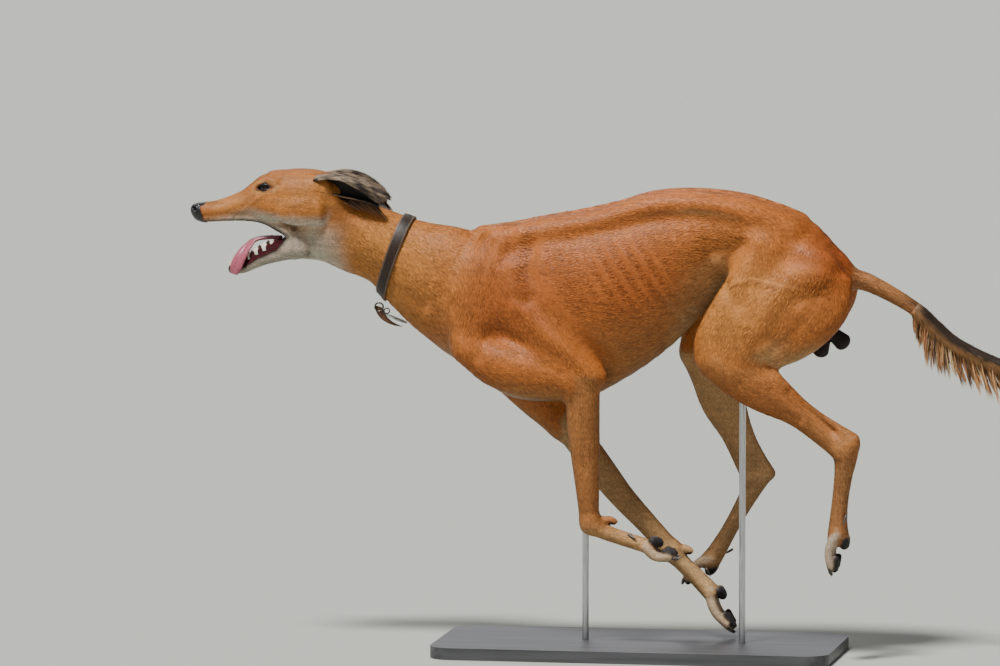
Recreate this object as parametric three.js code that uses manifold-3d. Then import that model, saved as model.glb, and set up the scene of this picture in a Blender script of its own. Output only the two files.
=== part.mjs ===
// A running sighthound in red fawn, caught in the gathered phase of a gallop,
// as a life-size still museum model held over a plain display base by two rods.
// Millimetres, +Z up. The dog faces -X and its left side is toward -Y.
// The origin is the centre of the base's underside.

import * as THREE from 'three';
import { mergeVertices } from 'three/addons/utils/BufferGeometryUtils.js';
import Module from 'manifold-3d';

const wasm = await Module();
wasm.setup();

// Driving sizes
const GAP = 0.3;
const BASE = { length: 670, width: 300, height: 20, corner: 40, curve: 6 };
const TOE_CLEARANCE = 6;
const DOG_LIFT = BASE.height + TOE_CLEARANCE;
const ROD_RADIUS = 5.5;
const ROD_SIDES = 20;
const ROD_FRONT = { x: -92, y: 0, top: 428 };
const ROD_REAR = { x: 172, y: 0, top: 622 };
const SEED = 4071;

// Sampling cell of each region and triangles kept in it
const CELL = {
  torso: 9, thigh: 7, shank: 5, forearm: 5, neck: 7, head: 3.8, jaw: 3, paw: 3.1, tail: 5, scrotum: 4,
};
const KEEP = {
  torso: 2300, thigh: 545, shank: 330, forearm: 380, neck: 600, head: 1800, nose: 240, jaw: 420,
  paw: 520, tail_root: 300, scrotum: 200,
};

const EYE = { x: -627, y: 23, z: 744, radius: 12, gaze: [-0.5, 0.86, 0.06] };
const LID = { upper: 7, lower: 5.8, half: 12.6, thick: 1.8, sides: 4, steps: 6 };
const COLLAR = { x: -413, z: 633, lean: 0.345, half: 10, thick: 3.2, steps: 30 };
const TAIL_CUTS = [388, 462, 632];
const COLLAR_RING = { at: [-441, -3.8, 545.5], radius: 7, wire: 1.4, turn: [Math.PI / 2, 0, 0] };
const TAG_RING = { at: [-428, -3.8, 539.2], radius: 4.5, wire: 1.1, turn: [Math.PI / 2, 0, 0] };
const TAG = { at: [-412, -2, 525], half: [19, 12], thick: 2, turn: 0.36 };
const TAB_THICK = 4;
const FRINGE = { from: 470, to: 800, count: 28, length: 66, width: 15, thick: 1.9, angle: 0.84 };

// A soft form is a tube of elliptic sections along a smooth path.
// Station: x, y, z, half height in the bending plane, half width across it.
const forms = [];

function smoothPath(stations, steps) {
  const n = stations.length;
  const out = [];
  const at = (i) => {
    if (i < 0) return stations[0].map((v, c) => 2 * v - stations[1][c]);
    if (i >= n) return stations[n - 1].map((v, c) => 2 * v - stations[n - 2][c]);
    return stations[i];
  };
  for (let i = 0; i < n - 1; i++) {
    const [a, b, c, d] = [at(i - 1), at(i), at(i + 1), at(i + 2)];
    for (let j = 0; j < steps; j++) {
      const t = j / steps;
      out.push(b.map((_, k) => 0.5 * (2 * b[k] + (c[k] - a[k]) * t
        + (2 * a[k] - 5 * b[k] + 4 * c[k] - d[k]) * t * t
        + (3 * b[k] - a[k] - 3 * c[k] + d[k]) * t * t * t)));
    }
  }
  out.push(stations[n - 1].slice());
  for (const p of out) {
    p[3] = Math.max(p[3], 0.5);
    p[4] = Math.max(p[4], 0.5);
  }
  return out;
}

function tube(name, group, blend, stations, side = [0, 1, 0]) {
  const path = smoothPath(stations, stations.length > 2 ? 4 : 3);
  const lo = [1e9, 1e9, 1e9];
  const hi = [-1e9, -1e9, -1e9];
  for (const p of path) {
    const reach = Math.max(p[3], p[4]) + blend * 1.2;
    for (let c = 0; c < 3; c++) {
      lo[c] = Math.min(lo[c], p[c] - reach);
      hi[c] = Math.max(hi[c], p[c] + reach);
    }
  }
  const segments = [];
  for (let i = 0; i + 1 < path.length; i++) {
    const a = new THREE.Vector3(...path[i]);
    const t = new THREE.Vector3(...path[i + 1]).sub(a);
    const length = t.length();
    if (length < 1e-6) continue;
    t.divideScalar(length);
    const l = new THREE.Vector3(...side);
    l.addScaledVector(t, -l.dot(t)).normalize();
    const d = new THREE.Vector3().crossVectors(t, l);
    segments.push([a.x, a.y, a.z, t.x, t.y, t.z, l.x, l.y, l.z, d.x, d.y, d.z, length,
      path[i][3], path[i + 1][3], path[i][4], path[i + 1][4]]);
  }
  forms.push({ name, group, blend, lo, hi, segments });
}

function pair(name, group, blend, stations) {
  tube(`left_${name}`, group, blend, stations);
  tube(`right_${name}`, group, blend, stations.map(([x, y, z, a, b]) => [x, -y, z, a, b]));
}


// Toes, pads and claws of a foot in its own frame: forward along the toes,
// dorsal toward the upper side, across from one toe to the next.
const TOE_ACROSS = [-15.5, -5.4, 5.4, 15.5];
const TOE_REACH = [0.9, 1, 1, 0.9];
const TOE_RADIUS = 8.2;
const CLAW = { length: 12, radius: 2.7, sides: 5 };
const claws = {};

function paw(group, origin, forward, dorsal, length, hand) {
  const o = new THREE.Vector3(...origin);
  const f = new THREE.Vector3(...forward).normalize();
  const d = new THREE.Vector3(...dorsal).normalize();
  const w = new THREE.Vector3().crossVectors(f, d).normalize();
  const put = (along, up, across) => o.clone().addScaledVector(f, along)
    .addScaledVector(d, up).addScaledVector(w, across);
  const row = (p, a, b) => [p.x, p.y, p.z, a, b];
  const side = [w.x, w.y, w.z];
  claws[group] = [];
  TOE_ACROSS.forEach((across, i) => {
    const reach = (length - 10) * TOE_REACH[i];
    const r = TOE_RADIUS;
    tube(`toe_${i}`, group, 5, [
      row(put(-6, 1, across * 0.75), r + 1, r),
      row(put(reach * 0.3, 6, across), r + 1, r - 0.4),
      row(put(reach * 0.62, 4, across * 1.08), r, r - 0.8),
      row(put(reach * 0.9, -4, across * 1.1), r - 0.6, r - 1.2),
    ], side);
    tube(`toe_pad_${i}`, group, 2.5, [
      row(put(reach * 0.64, -8.5, across * 1.08), 6.4, 6),
      row(put(reach * 0.92, -10, across * 1.1), 6.6, 5.8),
    ], side);
    const tip = put(reach * 0.9 + 3, -2, across * 1.1);
    const aim = f.clone().multiplyScalar(0.84).addScaledVector(d, -0.54).normalize();
    claws[group].push({ tip, aim, side: w.clone() });
  });
  tube('heel_pad', group, 3, [
    row(put(2, -12, -9), 9, 9),
    row(put(9, -14, 0), 9.5, 11.5),
    row(put(2, -12, 9), 9, 9),
  ], [f.x, f.y, f.z]);
  const inner = put(-34, -4, hand * 13);
  const outward = f.clone().addScaledVector(w, hand * 0.5).normalize();
  claws[group].push({ tip: inner, aim: outward, side: d.clone(), dew: true });
}

const FAR = 60;

// Body forms in millimetres, measured off the photograph and the breed's build
// Trunk
tube('ribcage', 'trunk', 20, [
  [-285, 0, 566, 80, 52], [-215, 0, 552, 128, 72], [-140, 0, 554, 146, 84], [-70, 0, 568, 138, 89],
  [0, 0, 604, 122, 86], [60, 0, 642, 98, 78], [120, 0, 664, 80, 70], [180, 0, 662, 76, 66],
  [240, 0, 648, 72, 66], [300, 0, 612, 54, 54],
]);
pair('back_muscle', 'trunk', 16, [
  [-230, -20, 664, 20, 22], [-150, -24, 681, 22, 28], [-60, -26, 698, 22, 30], [20, -30, 722, 24, 32],
  [100, -32, 729, 22, 32], [180, -30, 717, 24, 32], [250, -26, 688, 24, 28],
]);
tube('spine_ridge', 'trunk', 10, [
  [-265, 0, 676, 9, 10], [-200, 0, 686, 9, 9], [-120, 0, 702, 9, 8], [-40, 0, 720, 9, 8],
  [40, 0, 740, 9, 9], [120, 0, 742, 9, 9], [200, 0, 728, 9, 9], [270, 0, 704, 10, 12],
]);
tube('neck', 'trunk', 24, [
  [-530, 0, 694, 50, 38], [-495, 0, 674, 56, 41], [-458, 0, 656, 61, 44], [-417, 0, 638, 65, 47],
  [-375, 0, 613, 80, 54], [-335, 0, 593, 94, 62], [-290, 0, 572, 102, 66],
]);
tube('breast', 'trunk', 26, [
  [-345, 0, 548, 34, 38], [-300, 0, 501, 35, 44], [-255, 0, 460, 33, 44], [-210, 0, 429, 31, 42],
  [-160, 0, 420, 28, 36], [-100, 0, 424, 26, 34], [-50, 0, 452, 22, 34], [0, 0, 496, 20, 38],
  [40, 0, 540, 18, 40],
]);
pair('scapula', 'trunk', 26, [
  [-236, -26, 666, 22, 15], [-250, -46, 620, 34, 17], [-270, -60, 560, 40, 20],
  [-276, -62, 512, 32, 23], [-278, -60, 488, 24, 24],
]);
tube('near_triceps', 'trunk', 22, [
  [-205, -48, 610, 34, 18], [-180, -64, 560, 44, 22], [-135, -74, 505, 40, 26],
  [-92, -76, 464, 26, 22], [-60, -72, 444, 15, 14],
]);
tube('near_upper_arm', 'trunk', 22, [
  [-280, -62, 484, 24, 24], [-235, -72, 462, 38, 29], [-175, -78, 446, 40, 30],
  [-112, -76, 434, 30, 26],
]);
tube('far_triceps', 'trunk', 22, [
  [-215, 48, 600, 34, 18], [-195, 62, 540, 44, 24], [-165, 72, 460, 44, 26], [-130, 72, 390, 30, 22],
  [-108, 66, 352, 16, 16],
]);
tube('far_upper_arm', 'trunk', 22, [
  [-276, 62, 490, 24, 24], [-245, 70, 446, 34, 28], [-205, 72, 402, 32, 26], [-145, 68, 348, 26, 24],
]);
tube('near_quads', 'trunk', 22, [
  [214, -50, 662, 32, 22], [197, -64, 608, 38, 26], [169, -74, 557, 40, 28], [139, -78, 508, 36, 28],
  [131, -78, 484, 29, 26],
]);
tube('near_biceps', 'trunk', 22, [
  [298, -50, 640, 42, 24], [276, -66, 590, 52, 30], [240, -78, 545, 54, 30], [195, -84, 505, 44, 26],
  [160, -84, 470, 30, 22],
]);
tube('near_ham', 'trunk', 18, [
  [330, -42, 602, 32, 22], [328, -52, 565, 32, 26], [304, -62, 531, 31, 28], [275, -70, 502, 25, 24],
  [245, -74, 480, 16, 18],
]);
tube('far_quads', 'trunk', 22, [
  [214, 50, 662, 32, 22], [172, 64, 610, 38, 26], [122, 76, 556, 40, 28], [91, 84, 505, 34, 28],
  [84, 88, 478, 28, 26],
]);
tube('far_biceps', 'trunk', 22, [
  [298, 50, 640, 42, 24], [262, 66, 590, 52, 30], [205, 80, 540, 52, 30], [145, 88, 495, 42, 26],
  [104, 92, 465, 30, 22],
]);
tube('far_ham', 'trunk', 18, [
  [330, 42, 602, 32, 22], [318, 52, 565, 33, 26], [280, 64, 520, 31, 28], [220, 74, 482, 26, 24],
  [165, 84, 450, 22, 18],
]);
// Forelegs
tube('near_forearm', 'near_fore', 8, [
  [-84, -74, 436, 29, 24], [-84, -76, 405, 29, 25], [-83, -76, 360, 28, 23], [-80, -74, 310, 25, 20],
  [-77, -72, 260, 21, 18], [-75, -70, 220, 18, 17], [-72, -69, 196, 18, 18],
]);
tube('near_carpus', 'near_fore', 10, [
  [-72, -69, 200, 17, 18], [-54, -68, 186, 14, 17], [-20, -67, 174, 13, 16], [10, -66, 165, 13, 18],
  [26, -66, 160, 12, 20],
]);
tube('near_carpal_pad', 'near_fore', 4, [
  [-58, -66, 202, 9, 10], [-42, -65, 203, 8, 8], [-34, -64, 201, 7, 7],
]);
tube('far_forearm', 'far_fore', 8, [
  [-136, 67, 350, 26, 24], [-112, 66, 318, 26, 24], [-76, 62, 272, 25, 22], [-42, 60, 230, 22, 19],
  [0, 58, 186, 19, 17], [44, 57, 139, 18, 18],
]);
tube('far_carpus', 'far_fore', 10, [
  [44, 57, 139, 18, 18], [60, 57, 121, 15, 17], [88, 57, 94, 15, 17], [110, 57, 72, 16, 21],
]);
tube('far_carpal_pad', 'far_fore', 4, [
  [52, 56, 140, 10, 10], [66, 55, 142, 10, 9], [74, 54, 140, 8, 8],
]);
// Hind legs
tube('near_shank', 'near_hind', 10, [
  [139, -80, 472, 31, 26], [184, -82, 445, 37, 28], [227, -82, 421, 35, 26], [275, -80, 389, 23, 20],
  [320, -78, 350, 17, 15], [352, -76, 328, 21, 17],
]);
tube('near_tendon', 'near_hind', 14, [
  [235, -82, 440, 16, 12], [280, -80, 406, 8, 8], [330, -78, 375, 7, 7], [367, -77, 348, 12, 13],
]);
tube('near_metatarsus', 'near_hind', 8, [
  [364, -77, 338, 17, 16], [356, -76, 312, 19, 16], [352, -75, 285, 16, 14], [347, -75, 245, 14.5, 13],
  [344, -75, 210, 16, 16], [344, -75, 186, 19, 20],
]);
tube('far_shank', 'far_hind', 10, [
  [85, 88, 472, 33, 26], [106, 94, 432, 37, 28], [122, 100, 385, 36, 25], [144, 104, 335, 26, 20],
  [160, 107, 288, 20, 16], [172, 109, 262, 20, 17],
]);
tube('far_tendon', 'far_hind', 14, [
  [140, 98, 400, 16, 12], [162, 102, 345, 8, 8], [184, 107, 300, 8, 8], [200, 110, 266, 12, 14],
]);
tube('far_metatarsus', 'far_hind', 8, [
  [184, 109, 258, 18, 16], [170, 111, 236, 17, 16], [152, 114, 204, 14.5, 14], [132, 117, 168, 14, 13],
  [112, 120, 134, 16, 16], [100, 121, 116, 18, 20],
]);
// Head
tube('cranium', 'trunk', 14, [
  [-600, 0, 731, 43, 42], [-575, 0, 728, 48, 48], [-550, 0, 728, 46, 47], [-525, 0, 722, 42, 42],
]);
tube('muzzle', 'trunk', 12, [
  [-622, 0, 722, 48, 40], [-640, 0, 720, 36, 33], [-660, 0, 714, 28, 28], [-685, 0, 708, 23, 23],
  [-712, 0, 702, 19.5, 19.5], [-735, 0, 699, 18, 17.5], [-744, 0, 699, 16, 16],
]);
pair('cheek', 'trunk', 12, [
  [-640, -22, 712, 14, 10], [-605, -36, 706, 18, 12], [-570, -42, 704, 22, 14],
  [-540, -42, 706, 20, 12],
]);
tube('throat', 'trunk', 20, [
  [-588, 0, 652, 24, 26], [-570, 0, 654, 31, 30], [-530, 0, 655, 36, 32], [-490, 0, 650, 44, 36],
]);
// Tail
tube('tail_core', 'tail', 12, [
  [320, 0, 621, 25, 22], [350, 0, 608, 19, 17], [380, 0, 601, 16, 15], [420, 0, 582, 14, 13],
  [460, 0, 558, 12.5, 12], [490, 0, 532, 12, 12], [520, 0, 506, 11.5, 11], [560, 0, 484, 11, 11],
  [600, 0, 468, 10.5, 10], [650, 0, 455, 9, 9], [700, 0, 448, 8, 8], [750, 0, 447, 6.5, 6.5],
  [800, 0, 453, 4, 4],
]);
// Small things of the trunk
tube('perineum', 'trunk', 14, [
  [292, 0, 566, 20, 15], [300, 0, 545, 15, 13], [312, 0, 522, 12, 12],
]);
tube('left_testis', 'trunk', 8, [
  [308, -7, 502, 13, 12], [304, -9, 487, 15, 13],
]);
tube('right_testis', 'trunk', 8, [
  [324, 7, 512, 13, 12], [338, 9, 500, 16, 13],
]);
tube('sheath', 'trunk', 8, [
  [100, 0, 560, 5, 5], [125, 0, 569, 8, 8], [170, 0, 582, 9, 9], [230, 0, 590, 9, 9],
]);
pair('flank_fold', 'trunk', 14, [
  [222, -58, 644, 12, 7], [190, -62, 612, 10, 6], [166, -62, 596, 8, 6],
]);
pair('lip', 'trunk', 5, [
  [-744, -8, 687, 6, 5], [-728, -12, 689, 6, 4.5], [-700, -14.5, 691, 6, 4], [-668, -17.5, 693, 7, 4],
  [-642, -21, 692, 8, 4.5], [-622, -26, 687, 9, 5], [-606, -30, 680, 10, 6], [-592, -33, 674, 10, 7],
]);
tube('near_ankle', 'near_hind', 7, [
  [341, -86, 331, 9, 7], [344, -87, 324, 7, 6],
]);
tube('far_ankle', 'far_hind', 7, [
  [167, 97, 261, 10, 7], [164, 98, 253, 8, 6],
]);
// Lower jaw
pair('jaw_side', 'jaw', 8, [
  [-572, -29, 650, 24, 10], [-608, -25, 632, 12.5, 8], [-631, -21, 624, 10, 7.5],
  [-650, -17, 616, 9, 7.5], [-670, -12, 607, 8.5, 7.5], [-691, -6, 605, 8.5, 7],
]);
tube('jaw_floor', 'jaw', 8, [
  [-590, 0, 636, 13, 24], [-620, 0, 625, 7, 20], [-650, 0, 613, 6, 14], [-680, 0, 604, 6, 8],
]);
pair('gum', 'jaw', 4, [
  [-594, -21, 652, 9, 5], [-620, -18, 644, 9, 4.5], [-650, -14, 630, 8, 4], [-674, -10, 617, 7, 4],
  [-688, -4, 611, 6, 4],
]);
// Ear bases
pair('ear_base', 'trunk', 10, [
  [-548, -28, 748, 14, 10], [-528, -34, 748, 15, 10],
]);
pair('brow', 'trunk', 8, [
  [-640, -22, 749, 5, 5], [-627, -27, 757, 5, 5], [-612, -31, 755, 5, 5],
]);
paw('near_fore', [26, -66, 160], [0.89, 0, -0.46], [-0.46, 0, -0.89], 57, -1);
paw('far_fore', [113, 57, 71], [0.4, 0, -0.917], [-0.917, 0, -0.4], 82, 1);
paw('near_hind', [344, -75, 186], [-0.28, 0, -0.96], [-0.96, 0, 0.28], 70, -1);
paw('far_hind', [100, 121, 116], [-0.84, 0, -0.54], [-0.54, 0, 0.84], 66, 1);

// Blend between whole groups of forms: the lower legs join the trunk softly
// but never each other.
const GROUP_BLEND = {
  trunk: 0, near_fore: 18, far_fore: 18, near_hind: 20, far_hind: 20, jaw: 14, tail: 20,
};

function formDistance(form, x, y, z) {
  let best = FAR;
  for (const s of form.segments) {
    const vx = x - s[0];
    const vy = y - s[1];
    const vz = z - s[2];
    const along = vx * s[3] + vy * s[4] + vz * s[5];
    const t = Math.min(Math.max(along / s[12], 0), 1);
    const rest = along - t * s[12];
    const a = s[13] + t * (s[14] - s[13]);
    const b = s[15] + t * (s[16] - s[15]);
    const p = (vx * s[6] + vy * s[7] + vz * s[8]) / b;
    const q = (vx * s[9] + vy * s[10] + vz * s[11]) / a;
    const c = Math.min(a, b);
    const r = rest / c;
    const k1 = Math.sqrt(p * p + q * q + r * r);
    const k2 = Math.sqrt((p * p) / (b * b) + (q * q) / (a * a) + (r * r) / (c * c)) + 1e-9;
    const d = (k1 * (k1 - 1)) / k2;
    if (d < best) best = d;
  }
  return best;
}

function softMin(a, b, k) {
  if (k <= 0) return Math.min(a, b);
  const h = Math.max(k - Math.abs(a - b), 0) / k;
  return Math.min(a, b) - h * h * k * 0.25;
}

function field(x, y, z) {
  let d = FAR;
  for (const group in GROUP_BLEND) {
    let inner = FAR;
    for (const f of forms) {
      if (f.group !== group) continue;
      if (x < f.lo[0] || y < f.lo[1] || z < f.lo[2]) continue;
      if (x > f.hi[0] || y > f.hi[1] || z > f.hi[2]) continue;
      inner = softMin(inner, formDistance(f, x, y, z), f.blend);
    }
    d = softMin(d, inner, GROUP_BLEND[group]);
  }
  return d;
}

// Each cell splits into six tetrahedra around its long diagonal.
const TETS = [[0, 1, 3, 7], [0, 3, 2, 7], [0, 2, 6, 7], [0, 6, 4, 7], [0, 4, 5, 7], [0, 5, 1, 7]];

function cornerOffset(c) {
  return [c & 1, (c >> 1) & 1, (c >> 2) & 1];
}

function orientTet(tet) {
  const [a, b, c, d] = tet.map((i) => new THREE.Vector3(...cornerOffset(i)));
  const det = b.sub(a).cross(c.sub(a)).dot(d.sub(a));
  return det > 0 ? tet : [tet[0], tet[1], tet[3], tet[2]];
}

function evenOrder(order) {
  let swaps = 0;
  for (let i = 0; i < 4; i++) for (let j = i + 1; j < 4; j++) if (order[i] > order[j]) swaps++;
  return swaps % 2 ? [order[0], order[1], order[3], order[2]] : order;
}

function tetTriangles(mask) {
  const inside = [0, 1, 2, 3].filter((i) => mask & (1 << i));
  const outside = [0, 1, 2, 3].filter((i) => !(mask & (1 << i)));
  if (inside.length === 1) {
    const [a, b, c, d] = evenOrder([...inside, ...outside]);
    return [[[a, b], [a, c], [a, d]]];
  }
  if (inside.length === 3) {
    const [a, b, c, d] = evenOrder([...outside, ...inside]);
    return [[[a, b], [a, d], [a, c]]];
  }
  const [a, b, c, d] = evenOrder([...inside, ...outside]);
  return [[[a, c], [a, d], [b, d]], [[a, c], [b, d], [b, c]]];
}

// Closed surface of a field inside a region, which it must not touch.
function surfaceOf(f, lo, hi, cell) {
  const n = [0, 1, 2].map((c) => Math.ceil((hi[c] - lo[c]) / cell) + 1);
  const values = new Float32Array(n[0] * n[1] * n[2]).fill(FAR);
  const index = (i, j, k) => (i * n[1] + j) * n[2] + k;
  const block = 5;
  const reach = block * cell * 1.1 + 3;
  for (let i = 1; i < n[0] - 1; i += block) {
    for (let j = 1; j < n[1] - 1; j += block) {
      for (let k = 1; k < n[2] - 1; k += block) {
        const half = block * 0.5 * cell;
        const mid = f(lo[0] + i * cell + half, lo[1] + j * cell + half, lo[2] + k * cell + half);
        const skip = Math.abs(mid) > reach;
        for (let p = i; p < Math.min(i + block, n[0] - 1); p++) {
          for (let q = j; q < Math.min(j + block, n[1] - 1); q++) {
            for (let r = k; r < Math.min(k + block, n[2] - 1); r++) {
              values[index(p, q, r)] = skip ? mid : f(lo[0] + p * cell, lo[1] + q * cell, lo[2] + r * cell);
            }
          }
        }
      }
    }
  }
  const tets = TETS.map(orientTet);
  const cases = [];
  for (let mask = 1; mask < 15; mask++) cases[mask] = tetTriangles(mask);
  const points = [];
  const faces = [];
  const known = new Map();
  const corners = [0, 1, 2, 3, 4, 5, 6, 7].map(cornerOffset);
  const vertex = (i, j, k, a, b) => {
    const low = Math.min(a, b);
    const high = Math.max(a, b);
    const [ax, ay, az] = corners[low];
    const [bx, by, bz] = corners[high];
    const ia = index(i + ax, j + ay, k + az);
    const key = ia * 8 + (high - low);
    let id = known.get(key);
    if (id === undefined) {
      const va = values[ia];
      const vb = values[index(i + bx, j + by, k + bz)];
      const t = Math.min(Math.max(va / (va - vb), 0.05), 0.95);
      id = points.length / 3;
      points.push(lo[0] + (i + ax + t * (bx - ax)) * cell, lo[1] + (j + ay + t * (by - ay)) * cell,
        lo[2] + (k + az + t * (bz - az)) * cell);
      known.set(key, id);
    }
    return id;
  };
  for (let i = 0; i + 1 < n[0]; i++) {
    for (let j = 0; j + 1 < n[1]; j++) {
      for (let k = 0; k + 1 < n[2]; k++) {
        let bits = 0;
        for (let c = 0; c < 8; c++) {
          const o = corners[c];
          if (values[index(i + o[0], j + o[1], k + o[2])] < 0) bits |= 1 << c;
        }
        if (bits === 0 || bits === 255) continue;
        for (const tet of tets) {
          let mask = 0;
          for (let c = 0; c < 4; c++) if (bits & (1 << tet[c])) mask |= 1 << c;
          if (mask === 0 || mask === 15) continue;
          for (const tri of cases[mask]) {
            for (const [a, b] of tri) faces.push(vertex(i, j, k, tet[a], tet[b]));
          }
        }
      }
    }
  }
  return { points, faces };
}

// Edge collapse by squared distance to the planes of the faces around.
function simplify(mesh, keep) {
  const p = Float64Array.from(mesh.points);
  const nv = p.length / 3;
  const f = Int32Array.from(mesh.faces);
  const nf = f.length / 3;
  const q = new Float64Array(nv * 10);
  const around = Array.from({ length: nv }, () => []);
  const alive = new Uint8Array(nf).fill(1);
  const stamp = new Int32Array(nv);
  const normal = (a, b, c) => {
    const [ux, uy, uz] = [p[b * 3] - p[a * 3], p[b * 3 + 1] - p[a * 3 + 1], p[b * 3 + 2] - p[a * 3 + 2]];
    const [vx, vy, vz] = [p[c * 3] - p[a * 3], p[c * 3 + 1] - p[a * 3 + 1], p[c * 3 + 2] - p[a * 3 + 2]];
    return [uy * vz - uz * vy, uz * vx - ux * vz, ux * vy - uy * vx];
  };
  for (let t = 0; t < nf; t++) {
    const [a, b, c] = [f[t * 3], f[t * 3 + 1], f[t * 3 + 2]];
    const n = normal(a, b, c);
    const size = Math.hypot(...n) + 1e-12;
    const [x, y, z] = n.map((v) => v / size);
    const w = -(x * p[a * 3] + y * p[a * 3 + 1] + z * p[a * 3 + 2]);
    const s = size * 0.5;
    const add = [x * x, x * y, x * z, x * w, y * y, y * z, y * w, z * z, z * w, w * w];
    for (const v of [a, b, c]) {
      around[v].push(t);
      for (let i = 0; i < 10; i++) q[v * 10 + i] += add[i] * s;
    }
  }
  const cost = (m, x, y, z) => m[0] * x * x + 2 * m[1] * x * y + 2 * m[2] * x * z + 2 * m[3] * x
    + m[4] * y * y + 2 * m[5] * y * z + 2 * m[6] * y + m[7] * z * z + 2 * m[8] * z + m[9];
  const heap = [];
  const less = (i, j) => heap[i].cost < heap[j].cost;
  const push = (item) => {
    let i = heap.push(item) - 1;
    while (i > 0) {
      const parent = (i - 1) >> 1;
      if (!less(i, parent)) break;
      [heap[i], heap[parent]] = [heap[parent], heap[i]];
      i = parent;
    }
  };
  const pop = () => {
    const top = heap[0];
    const last = heap.pop();
    if (heap.length) {
      heap[0] = last;
      let i = 0;
      for (;;) {
        let best = i;
        const left = 2 * i + 1;
        if (left < heap.length && less(left, best)) best = left;
        if (left + 1 < heap.length && less(left + 1, best)) best = left + 1;
        if (best === i) break;
        [heap[i], heap[best]] = [heap[best], heap[i]];
        i = best;
      }
    }
    return top;
  };
  const edge = (a, b) => {
    const m = new Float64Array(10);
    for (let i = 0; i < 10; i++) m[i] = q[a * 10 + i] + q[b * 10 + i];
    const mid = [0, 1, 2].map((c) => (p[a * 3 + c] + p[b * 3 + c]) / 2);
    const weight = (m[0] + m[4] + m[7]) * 0.004 + 1e-9;
    const k = new THREE.Matrix3().set(
      m[0] + weight, m[1], m[2],
      m[1], m[4] + weight, m[5],
      m[2], m[5], m[7] + weight,
    );
    const at = new THREE.Vector3(weight * mid[0] - m[3], weight * mid[1] - m[6], weight * mid[2] - m[8]);
    at.applyMatrix3(k.invert());
    const far = Math.hypot(at.x - mid[0], at.y - mid[1], at.z - mid[2]);
    const span = Math.hypot(p[a * 3] - p[b * 3], p[a * 3 + 1] - p[b * 3 + 1], p[a * 3 + 2] - p[b * 3 + 2]);
    if (!(far < span * 1.5)) at.set(...mid);
    const value = Math.max(cost(m, at.x, at.y, at.z), 0) + span * span * span * span * 2e-5;
    push({ cost: value, a, b, at, sa: stamp[a], sb: stamp[b] });
  };
  const neighbours = (v) => {
    const out = new Set();
    for (const t of around[v]) for (let c = 0; c < 3; c++) if (f[t * 3 + c] !== v) out.add(f[t * 3 + c]);
    return out;
  };
  for (let t = 0; t < nf; t++) {
    for (let c = 0; c < 3; c++) {
      const a = f[t * 3 + c];
      const b = f[t * 3 + (c + 1) % 3];
      if (a < b) edge(a, b);
    }
  }
  const flips = (v, other, at) => {
    for (const t of around[v]) {
      const ids = [f[t * 3], f[t * 3 + 1], f[t * 3 + 2]];
      if (ids.includes(other)) continue;
      const before = normal(...ids);
      const keepX = [p[v * 3], p[v * 3 + 1], p[v * 3 + 2]];
      [p[v * 3], p[v * 3 + 1], p[v * 3 + 2]] = [at.x, at.y, at.z];
      const after = normal(...ids);
      [p[v * 3], p[v * 3 + 1], p[v * 3 + 2]] = keepX;
      const dot = before[0] * after[0] + before[1] * after[1] + before[2] * after[2];
      if (dot < 0.25 * Math.hypot(...before) * Math.hypot(...after)) return true;
    }
    return false;
  };
  let count = nf;
  while (count > keep && heap.length) {
    const e = pop();
    const { a, b, at } = e;
    if (stamp[a] !== e.sa || stamp[b] !== e.sb) continue;
    const shared = around[a].filter((t) => around[b].includes(t));
    if (shared.length !== 2) continue;
    const na = neighbours(a);
    let common = 0;
    for (const v of neighbours(b)) if (na.has(v)) common++;
    if (common !== 2 || flips(a, b, at) || flips(b, a, at)) continue;
    [p[a * 3], p[a * 3 + 1], p[a * 3 + 2]] = [at.x, at.y, at.z];
    for (let i = 0; i < 10; i++) q[a * 10 + i] += q[b * 10 + i];
    for (const t of shared) {
      alive[t] = 0;
      for (let c = 0; c < 3; c++) {
        const v = f[t * 3 + c];
        around[v] = around[v].filter((u) => u !== t);
      }
    }
    for (const t of around[b]) {
      for (let c = 0; c < 3; c++) if (f[t * 3 + c] === b) f[t * 3 + c] = a;
      around[a].push(t);
    }
    around[b] = [];
    stamp[b] = -1;
    stamp[a]++;
    count -= 2;
    for (const v of neighbours(a)) edge(a, v);
  }
  const ids = new Map();
  const points = [];
  const faces = [];
  for (let t = 0; t < nf; t++) {
    if (!alive[t]) continue;
    for (let c = 0; c < 3; c++) {
      const v = f[t * 3 + c];
      if (!ids.has(v)) {
        ids.set(v, points.length / 3);
        points.push(p[v * 3], p[v * 3 + 1], p[v * 3 + 2]);
      }
      faces.push(ids.get(v));
    }
  }
  return { points, faces };
}

// Solids
function solidFrom({ points, faces }) {
  let volume = 0;
  for (let t = 0; t < faces.length; t += 3) {
    const [a, b, c] = [faces[t] * 3, faces[t + 1] * 3, faces[t + 2] * 3];
    volume += points[a] * (points[b + 1] * points[c + 2] - points[b + 2] * points[c + 1])
      - points[a + 1] * (points[b] * points[c + 2] - points[b + 2] * points[c])
      + points[a + 2] * (points[b] * points[c + 1] - points[b + 1] * points[c]);
  }
  const tris = Uint32Array.from(faces);
  if (volume < 0) for (let t = 0; t < tris.length; t += 3) [tris[t], tris[t + 1]] = [tris[t + 1], tris[t]];
  return new wasm.Manifold(new wasm.Mesh({
    numProp: 3, vertProperties: Float32Array.from(points), triVerts: tris,
  }));
}

function solidOf(geometry, matrix) {
  const g = geometry.clone();
  if (matrix) g.applyMatrix4(matrix);
  g.deleteAttribute('normal');
  g.deleteAttribute('uv');
  const merged = mergeVertices(g, 1e-3);
  return solidFrom({ points: [...merged.attributes.position.array], faces: [...merged.index.array] });
}

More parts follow.
